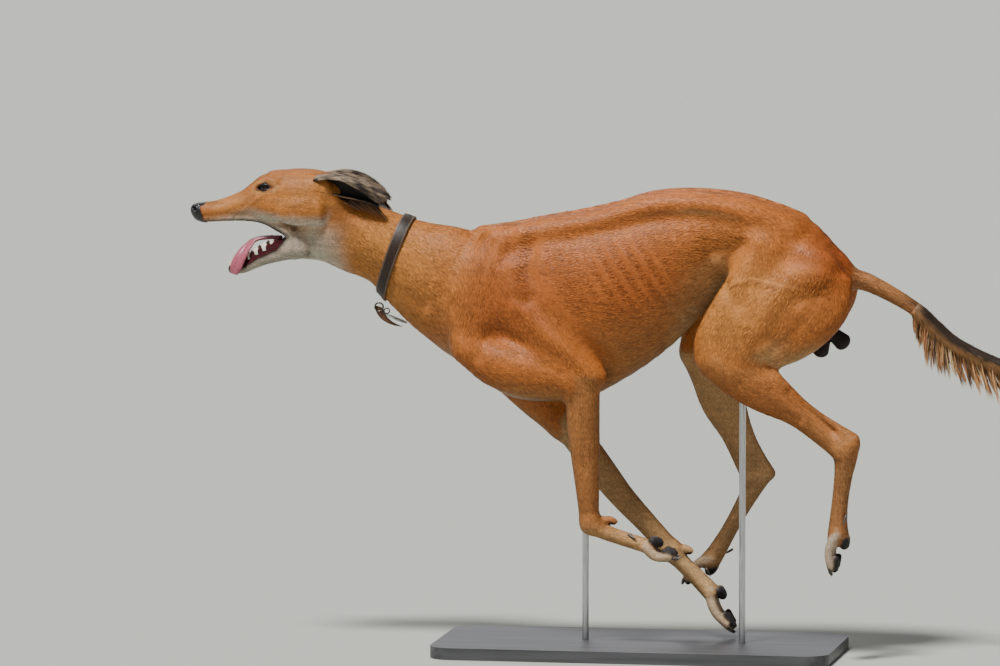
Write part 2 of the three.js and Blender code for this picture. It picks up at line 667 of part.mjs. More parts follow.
function region(lo, hi, cell, keep) {
  return solidFrom(simplify(surfaceOf(field, lo, hi, cell), keep));
}

// A box in the dog's frame: centre, full size, turn about Y.
function block(centre, size, turn = 0) {
  const m = new THREE.Matrix4().makeRotationY(turn).setPosition(...centre);
  return solidOf(new THREE.BoxGeometry(...size), m);
}

// Everything beyond a plane through a point in the XZ direction given.
function beyond(point, direction, size = 900) {
  const d = new THREE.Vector3(...direction).normalize();
  const centre = new THREE.Vector3(...point).addScaledVector(d, size / 2);
  return block([centre.x, 0, centre.z], [size, size, size], Math.atan2(-d.z, d.x));
}

function shift(point, direction, by) {
  const d = new THREE.Vector3(...direction).normalize();
  return new THREE.Vector3(...point).addScaledVector(d, by).toArray();
}

// Keeps the part of a solid on one side of a cut, half the gap away from it.
function before(solid, point, direction) {
  return solid.subtract(beyond(shift(point, direction, -GAP / 2), direction));
}

function after(solid, point, direction) {
  return solid.intersect(beyond(shift(point, direction, GAP / 2), direction));
}

function largest(solid) {
  const pieces = solid.decompose();
  pieces.sort((a, b) => b.volume() - a.volume());
  return pieces[0];
}

// Closed tube of elliptic sections. A station may carry its own side vector.
function loft(stations, sides, side = [0, 1, 0], grow = 0, steps = 2) {
  const path = smoothPath(stations.map((s) => (s.length > 5 ? s : [...s, ...side])), steps);
  const points = [];
  const faces = [];
  const n = path.length;
  path.forEach((s, i) => {
    const before = path[Math.max(i - 1, 0)];
    const next = path[Math.min(i + 1, n - 1)];
    const t = new THREE.Vector3(next[0] - before[0], next[1] - before[1], next[2] - before[2]).normalize();
    const l = new THREE.Vector3(s[5], s[6], s[7]);
    l.addScaledVector(t, -l.dot(t)).normalize();
    const d = new THREE.Vector3().crossVectors(t, l);
    for (let k = 0; k < sides; k++) {
      const w = (k / sides) * 2 * Math.PI;
      const v = new THREE.Vector3(s[0], s[1], s[2]).addScaledVector(l, Math.cos(w) * (s[4] + grow))
        .addScaledVector(d, Math.sin(w) * (s[3] + grow));
      points.push(v.x, v.y, v.z);
    }
    if (i > 0) {
      for (let k = 0; k < sides; k++) {
        const [a, b] = [(i - 1) * sides + k, (i - 1) * sides + (k + 1) % sides];
        faces.push(a, b, b + sides, a, b + sides, a + sides);
      }
    }
  });
  for (const end of [0, n - 1]) {
    const s = path[end];
    const near = path[end === 0 ? 1 : n - 2];
    const t = new THREE.Vector3(s[0] - near[0], s[1] - near[1], s[2] - near[2]).normalize();
    const push = Math.min(s[3], s[4]) * 0.6 + grow;
    const id = points.length / 3;
    points.push(s[0] + t.x * push, s[1] + t.y * push, s[2] + t.z * push);
    for (let k = 0; k < sides; k++) {
      const [a, b] = [end * sides + k, end * sides + (k + 1) % sides];
      if (end === 0) faces.push(id, b, a);
      else faces.push(id, a, b);
    }
  }
  return solidFrom({ points, faces });
}

function sphere(centre, radius, wide = 20, high = 12) {
  return solidOf(new THREE.SphereGeometry(radius, wide, high), new THREE.Matrix4().setPosition(...centre));
}

function cylinderZ(x, y, bottom, top, radius, sides = ROD_SIDES) {
  const m = new THREE.Matrix4().makeRotationX(Math.PI / 2).setPosition(x, y, (bottom + top) / 2);
  return solidOf(new THREE.CylinderGeometry(radius, radius, top - bottom, sides), m);
}

let seed = SEED;
function draw() {
  seed = (Math.imul(seed, 1664525) + 1013904223) >>> 0;
  return seed / 4294967296;
}

// A flat tapered lock that bends from one direction to another.
function lock(root, start, end, length, width, thick, side) {
  const stations = [];
  const p = new THREE.Vector3(...root);
  const steps = 4;
  for (let i = 0; i <= steps; i++) {
    const t = i / steps;
    const taper = t < 0.5 ? 1 : 1 - 0.86 * ((t - 0.5) / 0.5);
    stations.push([p.x, p.y, p.z, thick * 0.5 * (0.45 + 0.55 * taper), width * 0.5 * taper]);
    const dir = new THREE.Vector3(...start).lerp(new THREE.Vector3(...end), t + 0.5 / steps).normalize();
    p.addScaledVector(dir, length / steps);
  }
  return loft(stations, 4, side, 0, 1);
}

// Cuts between the nodes
const CUT = {
  neck_head: { at: [-507, 0, 680], to: [0.87, 0, -0.5] },
  neck_torso: { at: [-362, 0, 600], to: [0.877, 0, -0.48] },
  nose: { at: [-743, 0, 700], to: [0.94, 0, 0.34] },
  near_elbow: { at: [-84, 0, 425], to: [0, 0, -1] },
  far_elbow: { at: [-124, 0, 334], to: [0.62, 0, -0.78] },
  near_carpus: { at: [-72, 0, 200], to: [0.25, 0, -0.97] },
  far_carpus: { at: [46, 0, 137], to: [0.68, 0, -0.73] },
  near_stifle: { at: [170, 0, 468], to: [-0.24, 0, -0.97] },
  far_stifle: { at: [110, 0, 459], to: [-0.385, 0, -0.923] },
  near_hock: { at: [356, 0, 312], to: [-0.1, 0, -0.995] },
  far_hock: { at: [170, 0, 236], to: [-0.5, 0, -0.866] },
  tail_root: { at: [TAIL_CUTS[0], 0, 599], to: [0.93, 0, -0.37] },
  tail_middle: { at: [TAIL_CUTS[1], 0, 556], to: [0.76, 0, -0.65] },
  tail_tip: { at: [TAIL_CUTS[2], 0, 459], to: [0.97, 0, -0.24] },
};
const cutBefore = (solid, name) => before(solid, CUT[name].at, CUT[name].to);
const cutAfter = (solid, name) => after(solid, CUT[name].at, CUT[name].to);

// The boxes that hold a leg where it leaves the trunk
function thighBox([frontX, frontZ, lean], side, grow) {
  const turn = Math.atan2(lean, Math.sqrt(1 - lean * lean));
  const depth = 330;
  const height = 420;
  const [lo, hi] = side < 0 ? [-170, -34] : [34, 180];
  const m = new THREE.Matrix4().makeRotationY(turn);
  const local = new THREE.Vector3(depth / 2, (lo + hi) / 2, -height / 2).applyMatrix4(m);
  return block([frontX + local.x, local.y, frontZ + local.z],
    [depth + grow, hi - lo + grow, height + grow], turn);
}

const elbowBox = {
  near: (grow) => block([-90, -94, 262], [150 + grow, 100 + grow, 326 + grow]),
  far: (grow) => beyond(shift(CUT.far_elbow.at, CUT.far_elbow.to, -grow / 2), CUT.far_elbow.to)
    .intersect(block([0, 92, 250], [700 + grow, 104 + grow, 800 + grow])),
};
const THIGH_FRONT = { near: [152, 642, 0.366], far: [104, 642, 0.42] };

// Trunk
let torso = region([-440, -132, 340], [430, 136, 770], CELL.torso, KEEP.torso);
torso = cutAfter(torso, 'neck_torso');
torso = cutBefore(torso, 'tail_root');
for (const tool of [
  elbowBox.near(GAP), elbowBox.far(GAP),
  thighBox(THIGH_FRONT.near, -1, GAP), thighBox(THIGH_FRONT.far, 1, GAP),
  block([320, 0, 490], [110 + GAP, 68 - GAP, 90 + GAP]),
  cylinderZ(ROD_FRONT.x, ROD_FRONT.y, 300, ROD_FRONT.top + GAP, ROD_RADIUS + GAP),
  cylinderZ(ROD_REAR.x, ROD_REAR.y, 300, ROD_REAR.top + GAP, ROD_RADIUS + GAP),
]) torso = torso.subtract(tool);
torso = largest(torso);

const scrotum = largest(region([262, -34, 450], [378, 34, 552], CELL.scrotum, KEEP.scrotum)
  .intersect(block([320, 0, 490 - GAP], [110 - GAP, 68 - 3 * GAP, 90 - GAP])));

// Legs
function leg(name, lo, hi, cell, keep, ...cuts) {
  let s = region(lo, hi, cell, keep);
  for (const cut of cuts) s = cut(s);
  return largest(s);
}

const leftForearm = leg('forearm', [-150, -140, 170], [-20, -36, 460], CELL.forearm, KEEP.forearm,
  (s) => s.intersect(elbowBox.near(-GAP)), (s) => cutBefore(s, 'near_carpus'));
const rightForearm = leg('forearm', [-200, 30, 100], [100, 130, 400], CELL.forearm, KEEP.forearm,
  (s) => s.intersect(elbowBox.far(-GAP)), (s) => cutBefore(s, 'far_carpus'));
const leftThigh = leg('thigh', [70, -150, 400], [420, -24, 690], CELL.thigh, KEEP.thigh,
  (s) => s.intersect(thighBox(THIGH_FRONT.near, -1, -GAP)), (s) => cutBefore(s, 'near_stifle'));
const rightThigh = leg('thigh', [-20, 24, 390], [420, 160, 690], CELL.thigh, KEEP.thigh,
  (s) => s.intersect(thighBox(THIGH_FRONT.far, 1, -GAP)), (s) => cutBefore(s, 'far_stifle'));
const leftShank = leg('shank', [70, -150, 280], [420, -24, 540], CELL.shank, KEEP.shank,
  (s) => cutAfter(s, 'near_stifle'), (s) => cutBefore(s, 'near_hock'));
const rightShank = leg('shank', [10, 30, 200], [300, 160, 540], CELL.shank, KEEP.shank,
  (s) => cutAfter(s, 'far_stifle'), (s) => cutBefore(s, 'far_hock'));

function foot(group, lo, hi, ...cuts) {
  let s = leg(group, lo, hi, CELL.paw, KEEP.paw, ...cuts);
  for (const { tip, aim, side, dew } of claws[group]) {
    const n = CLAW.length;
    const r = CLAW.radius;
    const down = new THREE.Vector3().crossVectors(side, aim).normalize();
    const at = (t, sag) => tip.clone().addScaledVector(aim, t * n).addScaledVector(down, sag);
    const row = (p, k) => [p.x, p.y, p.z, r * k, r * k * 0.75];
    const sag = dew ? 1 : 1.6;
    const rows = [row(at(-0.5, 0), 1), row(at(0.4, 0.2 * sag), 0.85), row(at(1, -0.6 * sag), 0.15)];
    s = s.add(loft(rows, CLAW.sides, side.toArray(), 0, 1));
  }
  return largest(s);
}

const leftForepaw = foot('near_fore', [-120, -104, 110], [110, -34, 230],
  (s) => cutAfter(s, 'near_carpus'));
const rightForepaw = foot('far_fore', [10, 22, -20], [180, 92, 175],
  (s) => cutAfter(s, 'far_carpus'));
const leftHindpaw = foot('near_hind', [300, -112, 90], [400, -40, 340],
  (s) => cutAfter(s, 'near_hock'));
const rightHindpaw = foot('far_hind', [20, 84, 60], [240, 160, 260],
  (s) => cutAfter(s, 'far_hock'));

// Neck with the collar's seat pressed into the coat
function collarRing(inner, outer, half) {
  const points = [];
  const faces = [];
  const n = COLLAR.steps;
  const axis = new THREE.Vector3(Math.cos(COLLAR.lean), 0, -Math.sin(COLLAR.lean));
  const up = new THREE.Vector3(-axis.z, 0, axis.x);
  for (let i = 0; i < n; i++) {
    const w = (i / n) * 2 * Math.PI;
    for (const along of [-half, half]) {
      const c = new THREE.Vector3(COLLAR.x, 0, COLLAR.z).addScaledVector(axis, along);
      const dir = up.clone().multiplyScalar(Math.sin(w)).add(new THREE.Vector3(0, Math.cos(w), 0));
      let [near, far] = [20, 110];
      for (let k = 0; k < 30; k++) {
        const mid = (near + far) / 2;
        const p = c.clone().addScaledVector(dir, mid);
        if (field(p.x, p.y, p.z) < 0) near = mid;
        else far = mid;
      }
      for (const off of [inner, outer]) {
        const p = c.clone().addScaledVector(dir, near + off);
        points.push(p.x, p.y, p.z);
      }
    }
  }
  for (let i = 0; i < n; i++) {
    const a = i * 4;
    const b = ((i + 1) % n) * 4;
    for (const [p, q] of [[0, 1], [1, 3], [3, 2], [2, 0]]) {
      faces.push(a + p, b + p, b + q, a + p, b + q, a + q);
    }
  }
  return solidFrom({ points, faces });
}
const collar = collarRing(0.6, 0.6 + COLLAR.thick, COLLAR.half);
const collarSeat = collarRing(0.6 - GAP, 30, COLLAR.half + GAP);
let neck = region([-600, -90, 440], [-270, 90, 790], CELL.neck, KEEP.neck);
neck = cutBefore(cutAfter(neck, 'neck_head'), 'neck_torso').subtract(collarSeat);

// Ears: a thin leaf folded along its length, its hollow facing out and down
const EAR = [
  { at: [-541, 27, 754], across: 13, high: 12, open: 0.9, thick: 3 },
  { at: [-524, 35, 753], across: 13, high: 16, open: 0.95, thick: 2.8 },
  { at: [-505, 40, 752], across: 12.5, high: 19, open: 0.95, thick: 2.6 },
  { at: [-485, 42, 747], across: 11, high: 19.5, open: 0.75, thick: 2.4 },
  { at: [-465, 42, 739], across: 9, high: 16, open: 0.55, thick: 2.4 },
  { at: [-448, 40, 730], across: 6.5, high: 10.5, open: 0.45, thick: 2.4 },
  { at: [-434, 37, 721], across: 3.6, high: 4.6, open: 0.4, thick: 2.2 },
];
const EAR_ARC = 9;

function ear(hand, grow) {
  const points = [];
  const faces = [];
  const ring = EAR_ARC * 2;
  EAR.forEach((e, i) => {
    const next = EAR[Math.min(i + 1, EAR.length - 1)].at;
    const last = EAR[Math.max(i - 1, 0)].at;
    const t = new THREE.Vector3(next[0] - last[0], next[1] - last[1], next[2] - last[2]).normalize();
    const out = new THREE.Vector3(0, 0.86, -0.5);
    out.addScaledVector(t, -out.dot(t)).normalize();
    const up = new THREE.Vector3().crossVectors(out, t).normalize();
    if (up.z < 0) up.negate();
    let reach = 0;
    if (i === 0) reach = -grow;
    if (i === EAR.length - 1) reach = grow;
    const c = new THREE.Vector3(...e.at).addScaledVector(t, reach);
    for (let k = 0; k < ring; k++) {
      const inner = k >= EAR_ARC;
      const j = inner ? ring - 1 - k : k;
      const w = e.open + (j / (EAR_ARC - 1)) * 2 * (Math.PI - e.open);
      const off = (inner ? -e.thick / 2 - grow : e.thick / 2 + grow);
      const tipShift = (j === 0 ? -1 : (j === EAR_ARC - 1 ? 1 : 0)) * grow;
      const ww = w + tipShift / Math.max(e.across, 4);
      const v = c.clone().addScaledVector(out, Math.cos(ww) * (e.across + off))
        .addScaledVector(up, Math.sin(ww) * (e.high + off));
      points.push(v.x, v.y * hand, v.z);
    }
    if (i > 0) {
      for (let k = 0; k < ring; k++) {
        const [a, b] = [(i - 1) * ring + k, (i - 1) * ring + (k + 1) % ring];
        faces.push(a, b, b + ring, a, b + ring, a + ring);
      }
    }
  });
  for (const end of [0, EAR.length - 1]) {
    const o = end * ring;
    for (let k = 0; k + 1 < EAR_ARC; k++) {
      const quad = [o + k, o + k + 1, o + ring - 2 - k, o + ring - 1 - k];
      if (end > 0) quad.reverse();
      faces.push(quad[0], quad[2], quad[1], quad[0], quad[3], quad[2]);
    }
  }
  return solidFrom({ points, faces });
}

const EAR_FRINGE = [
  { s: 2.2, w: 5.2, length: 25 }, { s: 3.1, w: 5.25, length: 29 }, { s: 3.9, w: 5.1, length: 30 },
  { s: 4.7, w: 4.8, length: 26 }, { s: 5.5, w: 4.3, length: 20 },
];

function earWithFringe(hand) {
  let s = ear(hand, 0);
  for (const { s: along, w, length } of EAR_FRINGE) {
    const i = Math.floor(along);
    const t = along - i;
    const [a, b] = [EAR[i], EAR[Math.min(i + 1, EAR.length - 1)]];
    const mix = (u, v) => u + (v - u) * t;
    const root = [0, 1, 2].map((c) => mix(a.at[c], b.at[c]));
    root[1] += Math.cos(w) * mix(a.across, b.across) * 0.75;
    root[2] += Math.sin(w) * mix(a.high, b.high) * 0.9;
    s = s.add(lock([root[0] - 4, root[1] * hand, root[2] + 1], [0.93, 0, -0.2], [0.8, -0.12 * hand, -0.55],
      length, 8, 2.2, [-0.2, 0.5 * hand, 0.8]));
  }
  return largest(s);
}
const ears = { left: earWithFringe(-1), right: earWithFringe(1) };

// Head
const noseForms = [
  ['nose_pad', 'trunk', 4, [[-738, 0, 702, 16, 15.5], [-750, 0, 703, 12, 13], [-753, 0, 705, 9, 10]]],
];
for (const f of noseForms) tube(...f);

function eyeFrame(hand) {
  const g = new THREE.Vector3(EYE.gaze[0], EYE.gaze[1] * hand, EYE.gaze[2]).normalize();
  const across = new THREE.Vector3(g.y * -hand, g.x * hand, -0.12).normalize();
  across.addScaledVector(g, -across.dot(g)).normalize();
  const up = new THREE.Vector3().crossVectors(g, across).normalize();
  if (up.z < 0) up.negate();
  return { g, across, up, c: new THREE.Vector3(EYE.x, EYE.y * hand, EYE.z) };
}

function eyeOpening(hand) {
  const { g, across, c } = eyeFrame(hand);
  const row = (depth, a, b) => [...c.clone().addScaledVector(g, depth).toArray(), a, b];
  return loft([row(5, 4, 9.5), row(12, LID.lower, LID.half), row(26, 9, 14)], 10, across.toArray(), 0, 1);
}

function lids(hand) {
  const out = [];
  const { g, across, up, c } = eyeFrame(hand);
  for (const [rise, sign] of [[LID.upper, 1], [LID.lower, -1]]) {
    const rows = [];
    for (let i = 0; i <= LID.steps; i++) {
      const w = (i / LID.steps) * Math.PI;
      const u = Math.cos(w) * LID.half;
      const v = Math.sin(w) * rise * sign;
      const depth = Math.sqrt(Math.max((EYE.radius + 1) ** 2 - u * u * 0.9 - v * v, 4));
      const p = c.clone().addScaledVector(g, depth).addScaledVector(across, u).addScaledVector(up, v);
      rows.push([p.x, p.y, p.z, LID.thick, LID.thick]);
    }
    out.push(loft(rows, LID.sides, g.toArray(), 0, 1));
  }
  return out;
}

// Lower teeth grow out of the gum: place, lean, height and root size
const TEETH = [
  [-688, 8.5, 612, -6, 1, 17, 3.1], [-693, 2.2, 609, -5, 0, 8, 1.8], [-692, 5.4, 609, -5, 0.4, 8.5, 1.8],
  [-672, 10.5, 621, -1, 0, 7, 3.4], [-660, 12.5, 628, -1, 0, 8, 4.2], [-647, 14.5, 636, -1, 0, 8.5, 4.8],
  [-633, 16, 643, 0, 0, 9.5, 5.6], [-620, 17.5, 650, 1, 0, 8, 4.4],
];

function teeth(grow) {
  const out = [];
  for (const hand of [-1, 1]) {
    for (const [x, y, z, leanX, leanY, height, r] of TEETH) {
      out.push(loft([
        [x + 1, y * hand, z - 5, r, r * 0.8],
        [x + leanX * 0.4, y * hand, z + height * 0.5, r * 0.8, r * 0.55],
        [x + leanX, (y + leanY) * hand, z + height, 0.5, 0.5],
      ], 5, [0, 1, 0], grow, 1));
    }
  }
  return out;
}

const mouthRoof = loft([
  [-757, 0, 673, 6, 8], [-735, 0, 678, 9, 12.5], [-700, 0, 680, 9, 14.5], [-660, 0, 680, 10, 17],
  [-632, 0, 675, 12, 20], [-612, 0, 667, 12, 23], [-594, 0, 662, 8, 24],
], 10, [0, 1, 0], 0, 1);

let head = region([-790, -80, 590], [-440, 80, 800], CELL.head, KEEP.head);
head = cutBefore(head, 'neck_head');
const noseSource = region([-775, -30, 670], [-725, 30, 735], 2.6, KEEP.nose);
let nose = cutBefore(noseSource, 'nose');
head = cutAfter(head, 'nose').subtract(mouthRoof);
const jawBox = (grow) => block([-664, 0, 607], [128 + grow, 120, 104 + grow], 0.1);
head = head.subtract(jawBox(GAP));
let jaw = region([-730, -60, 580], [-585, 60, 690], CELL.jaw, KEEP.jaw).intersect(jawBox(-GAP));
jaw = largest(jaw);
for (const tooth of teeth(0)) jaw = jaw.add(tooth);
for (const tooth of teeth(GAP + 0.1)) head = head.subtract(tooth);
for (const hand of [-1, 1]) {
  for (const lid of lids(hand)) head = head.add(lid);
  head = head.subtract(sphere([EYE.x, EYE.y * hand, EYE.z], EYE.radius + GAP, 14, 9));
  head = head.subtract(eyeOpening(hand));
  head = head.subtract(ear(hand, 0.4));
  neck = neck.subtract(ear(hand, 0.4));
  const slit = loft([[-757, 5.5 * hand, 706, 2.4, 2], [-751, 9.5 * hand, 705, 2.6, 2.2],
    [-746, 14 * hand, 702, 1.4, 1.6]], 7);
  nose = nose.subtract(slit);
}
head = largest(head);
neck = largest(neck);
nose = largest(nose);

// Tongue: out of the mouth and down over the near lip, behind the canine
const TONGUE = [
  [-608, 0, 659, 3.4, 12.5, 0, 1, 0], [-630, 0, 659, 3.8, 11.5, 0, 1, 0],
  [-652, -3, 655, 3.8, 11.5, -0.2, 1, 0.1],
  [-664, -12, 643, 3.6, 11, -0.5, 0.8, 0.4], [-673, -19.5, 628, 3.4, 11, -0.8, 0.45, 0.4],
  [-680, -22.5, 612, 3.2, 11, -0.9, 0.3, 0.3], [-684, -21.5, 599, 2.2, 7, -0.9, 0.3, 0.3],
];
const tongue = loft(TONGUE, 10, [0, 1, 0], 0, 1);
head = largest(head.subtract(loft(TONGUE, 10, [0, 1, 0], GAP + 0.1, 1)));
jaw = largest(jaw.subtract(loft(TONGUE, 10, [0, 1, 0], GAP + 0.1, 1)));

// Tail: a bare core, and a fringe under its outer half
const tailCore = forms.find((f) => f.name === 'tail_core');
const tailStations = tailCore.segments.map((s) => [s[0], s[1], s[2], s[13], s[15]]);
tailStations.push([800, 0, 453, 4, 4]);
const tailBase = region([320, -50, 500], [500, 50, 680], CELL.tail, KEEP.tail_root);
const tailRoot = largest(cutBefore(cutAfter(tailBase, 'tail_root'), 'tail_middle'));
const rod = tailStations.filter((s) => s[0] > TAIL_CUTS[1] - 30).filter((_, i) => i % 2 === 0);
rod.push(tailStations[tailStations.length - 1]);
const tailRodSolid = loft(rod, 10, [0, 1, 0], 0, 1);
let tailMiddle = cutBefore(cutAfter(tailRodSolid, 'tail_middle'), 'tail_tip');
let tailTip = cutAfter(tailRodSolid, 'tail_tip');

function tailAt(x) {
  let i = tailStations.findIndex((s) => s[0] > x);
  if (i < 1) i = tailStations.length - 1;
  const [a, b] = [tailStations[i - 1], tailStations[i]];
  const t = Math.min((x - a[0]) / (b[0] - a[0]), 1);
  const p = a.map((v, c) => v + (b[c] - v) * t);
  const dir = new THREE.Vector3(b[0] - a[0], 0, b[2] - a[2]).normalize();
  return { p, dir };
}

for (let i = 0; i < FRINGE.count; i++) {
  const x = FRINGE.from + ((FRINGE.to - FRINGE.from) * (i + 0.5)) / FRINGE.count;
  const { p, dir } = tailAt(x);
  const across = (i % 2 ? 1 : -1) * (0.25 + 0.3 * draw());
  const fade = Math.min(1, 0.45 + (x - FRINGE.from) / 90) * (x > 740 ? 0.8 : 1);
  const turn = (angle) => [dir.x * Math.cos(angle) + dir.z * Math.sin(angle), across * 0.35,
    dir.z * Math.cos(angle) - dir.x * Math.sin(angle)];
  const opening = FRINGE.angle + 0.16 * (draw() - 0.5);
  const length = FRINGE.length * fade * (0.85 + 0.3 * draw());
  const root = [p[0], p[1] + across * p[4], p[2] - p[3] * 0.25];
  const piece = lock(root, turn(opening), turn(opening - 0.32), length, FRINGE.width, FRINGE.thick,
    [dir.x, 0.2 * across, dir.z]);
  const clearBefore = x - 9 < TAIL_CUTS[2];
  if (clearBefore) tailMiddle = tailMiddle.add(piece);
  else tailTip = tailTip.add(piece);
}
tailMiddle = largest(cutAfter(tailMiddle, 'tail_middle'));
tailTip = largest(tailTip.subtract(tailMiddle));

// Eyes
function eye(hand) {
  return sphere([EYE.x, EYE.y * hand, EYE.z], EYE.radius, 14, 9);
}

// Collar fittings: ring, leather tab, small ring and a flat oval tag
function ringAt({ at, radius, wire, turn }) {
  const m = new THREE.Matrix4().makeRotationFromEuler(new THREE.Euler(...turn)).setPosition(...at);
  return solidOf(new THREE.TorusGeometry(radius, wire, 6, 14), m);
}

const collarD = ringAt(COLLAR_RING);
const tabShape = new THREE.Shape();
tabShape.moveTo(-449, 547.8);
tabShape.bezierCurveTo(-449, 534, -436, 514, -402, 513);
tabShape.bezierCurveTo(-416, 518, -430, 524, -435.5, 544);
tabShape.closePath();
const tabGeometry = new THREE.ExtrudeGeometry(tabShape, {
  depth: TAB_THICK, bevelEnabled: false, curveSegments: 8,
});
const tabTurn = new THREE.Matrix4().makeRotationX(Math.PI / 2).setPosition(0, TAB_THICK / 2, 0);
const tab = solidOf(tabGeometry, tabTurn);
const tagRing = ringAt(TAG_RING);
const tagShape = new THREE.Shape();
tagShape.absellipse(0, 0, TAG.half[0], TAG.half[1], 0, 2 * Math.PI);
const tagGeometry = new THREE.ExtrudeGeometry(tagShape, {
  depth: TAG.thick, bevelEnabled: false, curveSegments: 12,
});
const tagTurn = new THREE.Matrix4().makeRotationY(TAG.turn).setPosition(...TAG.at);
const tag = solidOf(tagGeometry, tagTurn);

// Stand
const plate = new THREE.Shape();
const [hx, hy, rc] = [BASE.length / 2, BASE.width / 2, BASE.corner];
plate.moveTo(-hx + rc, -hy);
plate.lineTo(hx - rc, -hy);
plate.absarc(hx - rc, -hy + rc, rc, -Math.PI / 2, 0);
plate.absarc(hx - rc, hy - rc, rc, 0, Math.PI / 2);
plate.absarc(-hx + rc, hy - rc, rc, Math.PI / 2, Math.PI);
plate.absarc(-hx + rc, -hy + rc, rc, Math.PI, 1.5 * Math.PI);
const plateSolid = solidOf(new THREE.ExtrudeGeometry(plate, {
  depth: BASE.height, bevelEnabled: false, curveSegments: BASE.curve,
}));
const rodBottom = BASE.height + GAP;
const frontRod = cylinderZ(ROD_FRONT.x, ROD_FRONT.y, rodBottom, ROD_FRONT.top + DOG_LIFT, ROD_RADIUS);
const rearRod = cylinderZ(ROD_REAR.x, ROD_REAR.y, rodBottom, ROD_REAR.top + DOG_LIFT, ROD_RADIUS);

// Scene graph
function meshOf(name, solid, colour, roughness, metalness = 0) {
  const { vertProperties, triVerts } = solid.getMesh();
  const g = new THREE.BufferGeometry();
  g.setAttribute('position', new THREE.BufferAttribute(new Float32Array(vertProperties), 3));
  g.setIndex(new THREE.BufferAttribute(new Uint32Array(triVerts), 1));
  g.computeVertexNormals();
  const mesh = new THREE.Mesh(g, new THREE.MeshStandardMaterial({ color: colour, roughness, metalness }));
  mesh.name = name;
  return mesh;
}

const FAWN = '#c98d5c';
const SAND = '#b99670';
const dog = new THREE.Group();
dog.position.z = DOG_LIFT;
dog.add(
  meshOf('head', head, '#b98d62', 0.8),
  meshOf('nose', nose, '#1b1816', 0.45),
  meshOf('lower_jaw', jaw, '#8d7f70', 0.7),
  meshOf('tongue', tongue, '#d77f8a', 0.45),
  meshOf('left_eye', eye(-1), '#22140c', 0.12),
  meshOf('right_eye', eye(1), '#22140c', 0.12),
  meshOf('left_ear', ears.left, '#54463a', 0.8),
  meshOf('right_ear', ears.right, '#54463a', 0.8),
  meshOf('neck', neck, FAWN, 0.8),
  meshOf('torso', torso, FAWN, 0.8),
  meshOf('left_forearm', leftForearm, SAND, 0.8),
  meshOf('right_forearm', rightForearm, SAND, 0.8),
  meshOf('left_forepaw', leftForepaw, SAND, 0.8),
  meshOf('right_forepaw', rightForepaw, SAND, 0.8),
  meshOf('left_thigh', leftThigh, FAWN, 0.8),
  meshOf('right_thigh', rightThigh, FAWN, 0.8),
  meshOf('left_shank', leftShank, SAND, 0.8),
  meshOf('right_shank', rightShank, SAND, 0.8),
  meshOf('left_hindpaw', leftHindpaw, SAND, 0.8),
  meshOf('right_hindpaw', rightHindpaw, SAND, 0.8),
  meshOf('scrotum', scrotum, '#2a2421', 0.7),
  meshOf('tail_root', tailRoot, FAWN, 0.8),
  meshOf('tail_middle', tailMiddle, '#6b5138', 0.85),
  meshOf('tail_tip', tailTip, '#6b5138', 0.85),
  meshOf('collar', collar, '#3a3230', 0.6),
  meshOf('collar_ring', collarD, '#8f8d88', 0.35, 1),
  meshOf('collar_tab', tab, '#7a4a2c', 0.6),
  meshOf('tag_ring', tagRing, '#8f8d88', 0.35, 1),
  meshOf('tag', tag, '#9aa08a', 0.5),
);

const model = new THREE.Group();
model.add(
  dog,
  meshOf('stand_base', plateSolid, '#d9d6cf', 0.6),
  meshOf('stand_rod_front', frontRod, '#8b8f93', 0.35, 1),
  meshOf('stand_rod_rear', rearRod, '#8b8f93', 0.35, 1),
);

export default model;
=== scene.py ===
# A running sighthound in red fawn, life size, as a still museum model: the skin and its short coat,
# the head's bare parts, the fringed tail and ears, the collar with its fittings, and the display stand.
import math
import bmesh
import bpy
import numpy as np
from mathutils import Matrix, Vector, kdtree


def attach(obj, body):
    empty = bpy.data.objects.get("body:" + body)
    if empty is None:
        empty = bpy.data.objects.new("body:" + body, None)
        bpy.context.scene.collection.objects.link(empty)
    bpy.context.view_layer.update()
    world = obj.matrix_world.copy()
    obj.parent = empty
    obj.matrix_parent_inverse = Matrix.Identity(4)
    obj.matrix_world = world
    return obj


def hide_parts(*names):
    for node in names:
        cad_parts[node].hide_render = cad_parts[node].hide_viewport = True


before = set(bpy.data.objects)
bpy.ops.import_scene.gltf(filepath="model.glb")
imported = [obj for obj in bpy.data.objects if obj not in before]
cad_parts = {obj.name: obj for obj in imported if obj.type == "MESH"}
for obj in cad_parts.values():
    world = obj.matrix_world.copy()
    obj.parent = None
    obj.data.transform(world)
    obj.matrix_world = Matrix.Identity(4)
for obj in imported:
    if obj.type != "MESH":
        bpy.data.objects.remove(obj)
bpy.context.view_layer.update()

MM = 0.001
DOG_LIFT = 26.0          # the dog's own measuring plane stands this far above the base's underside
SEED = 4071
rng = np.random.default_rng(SEED)


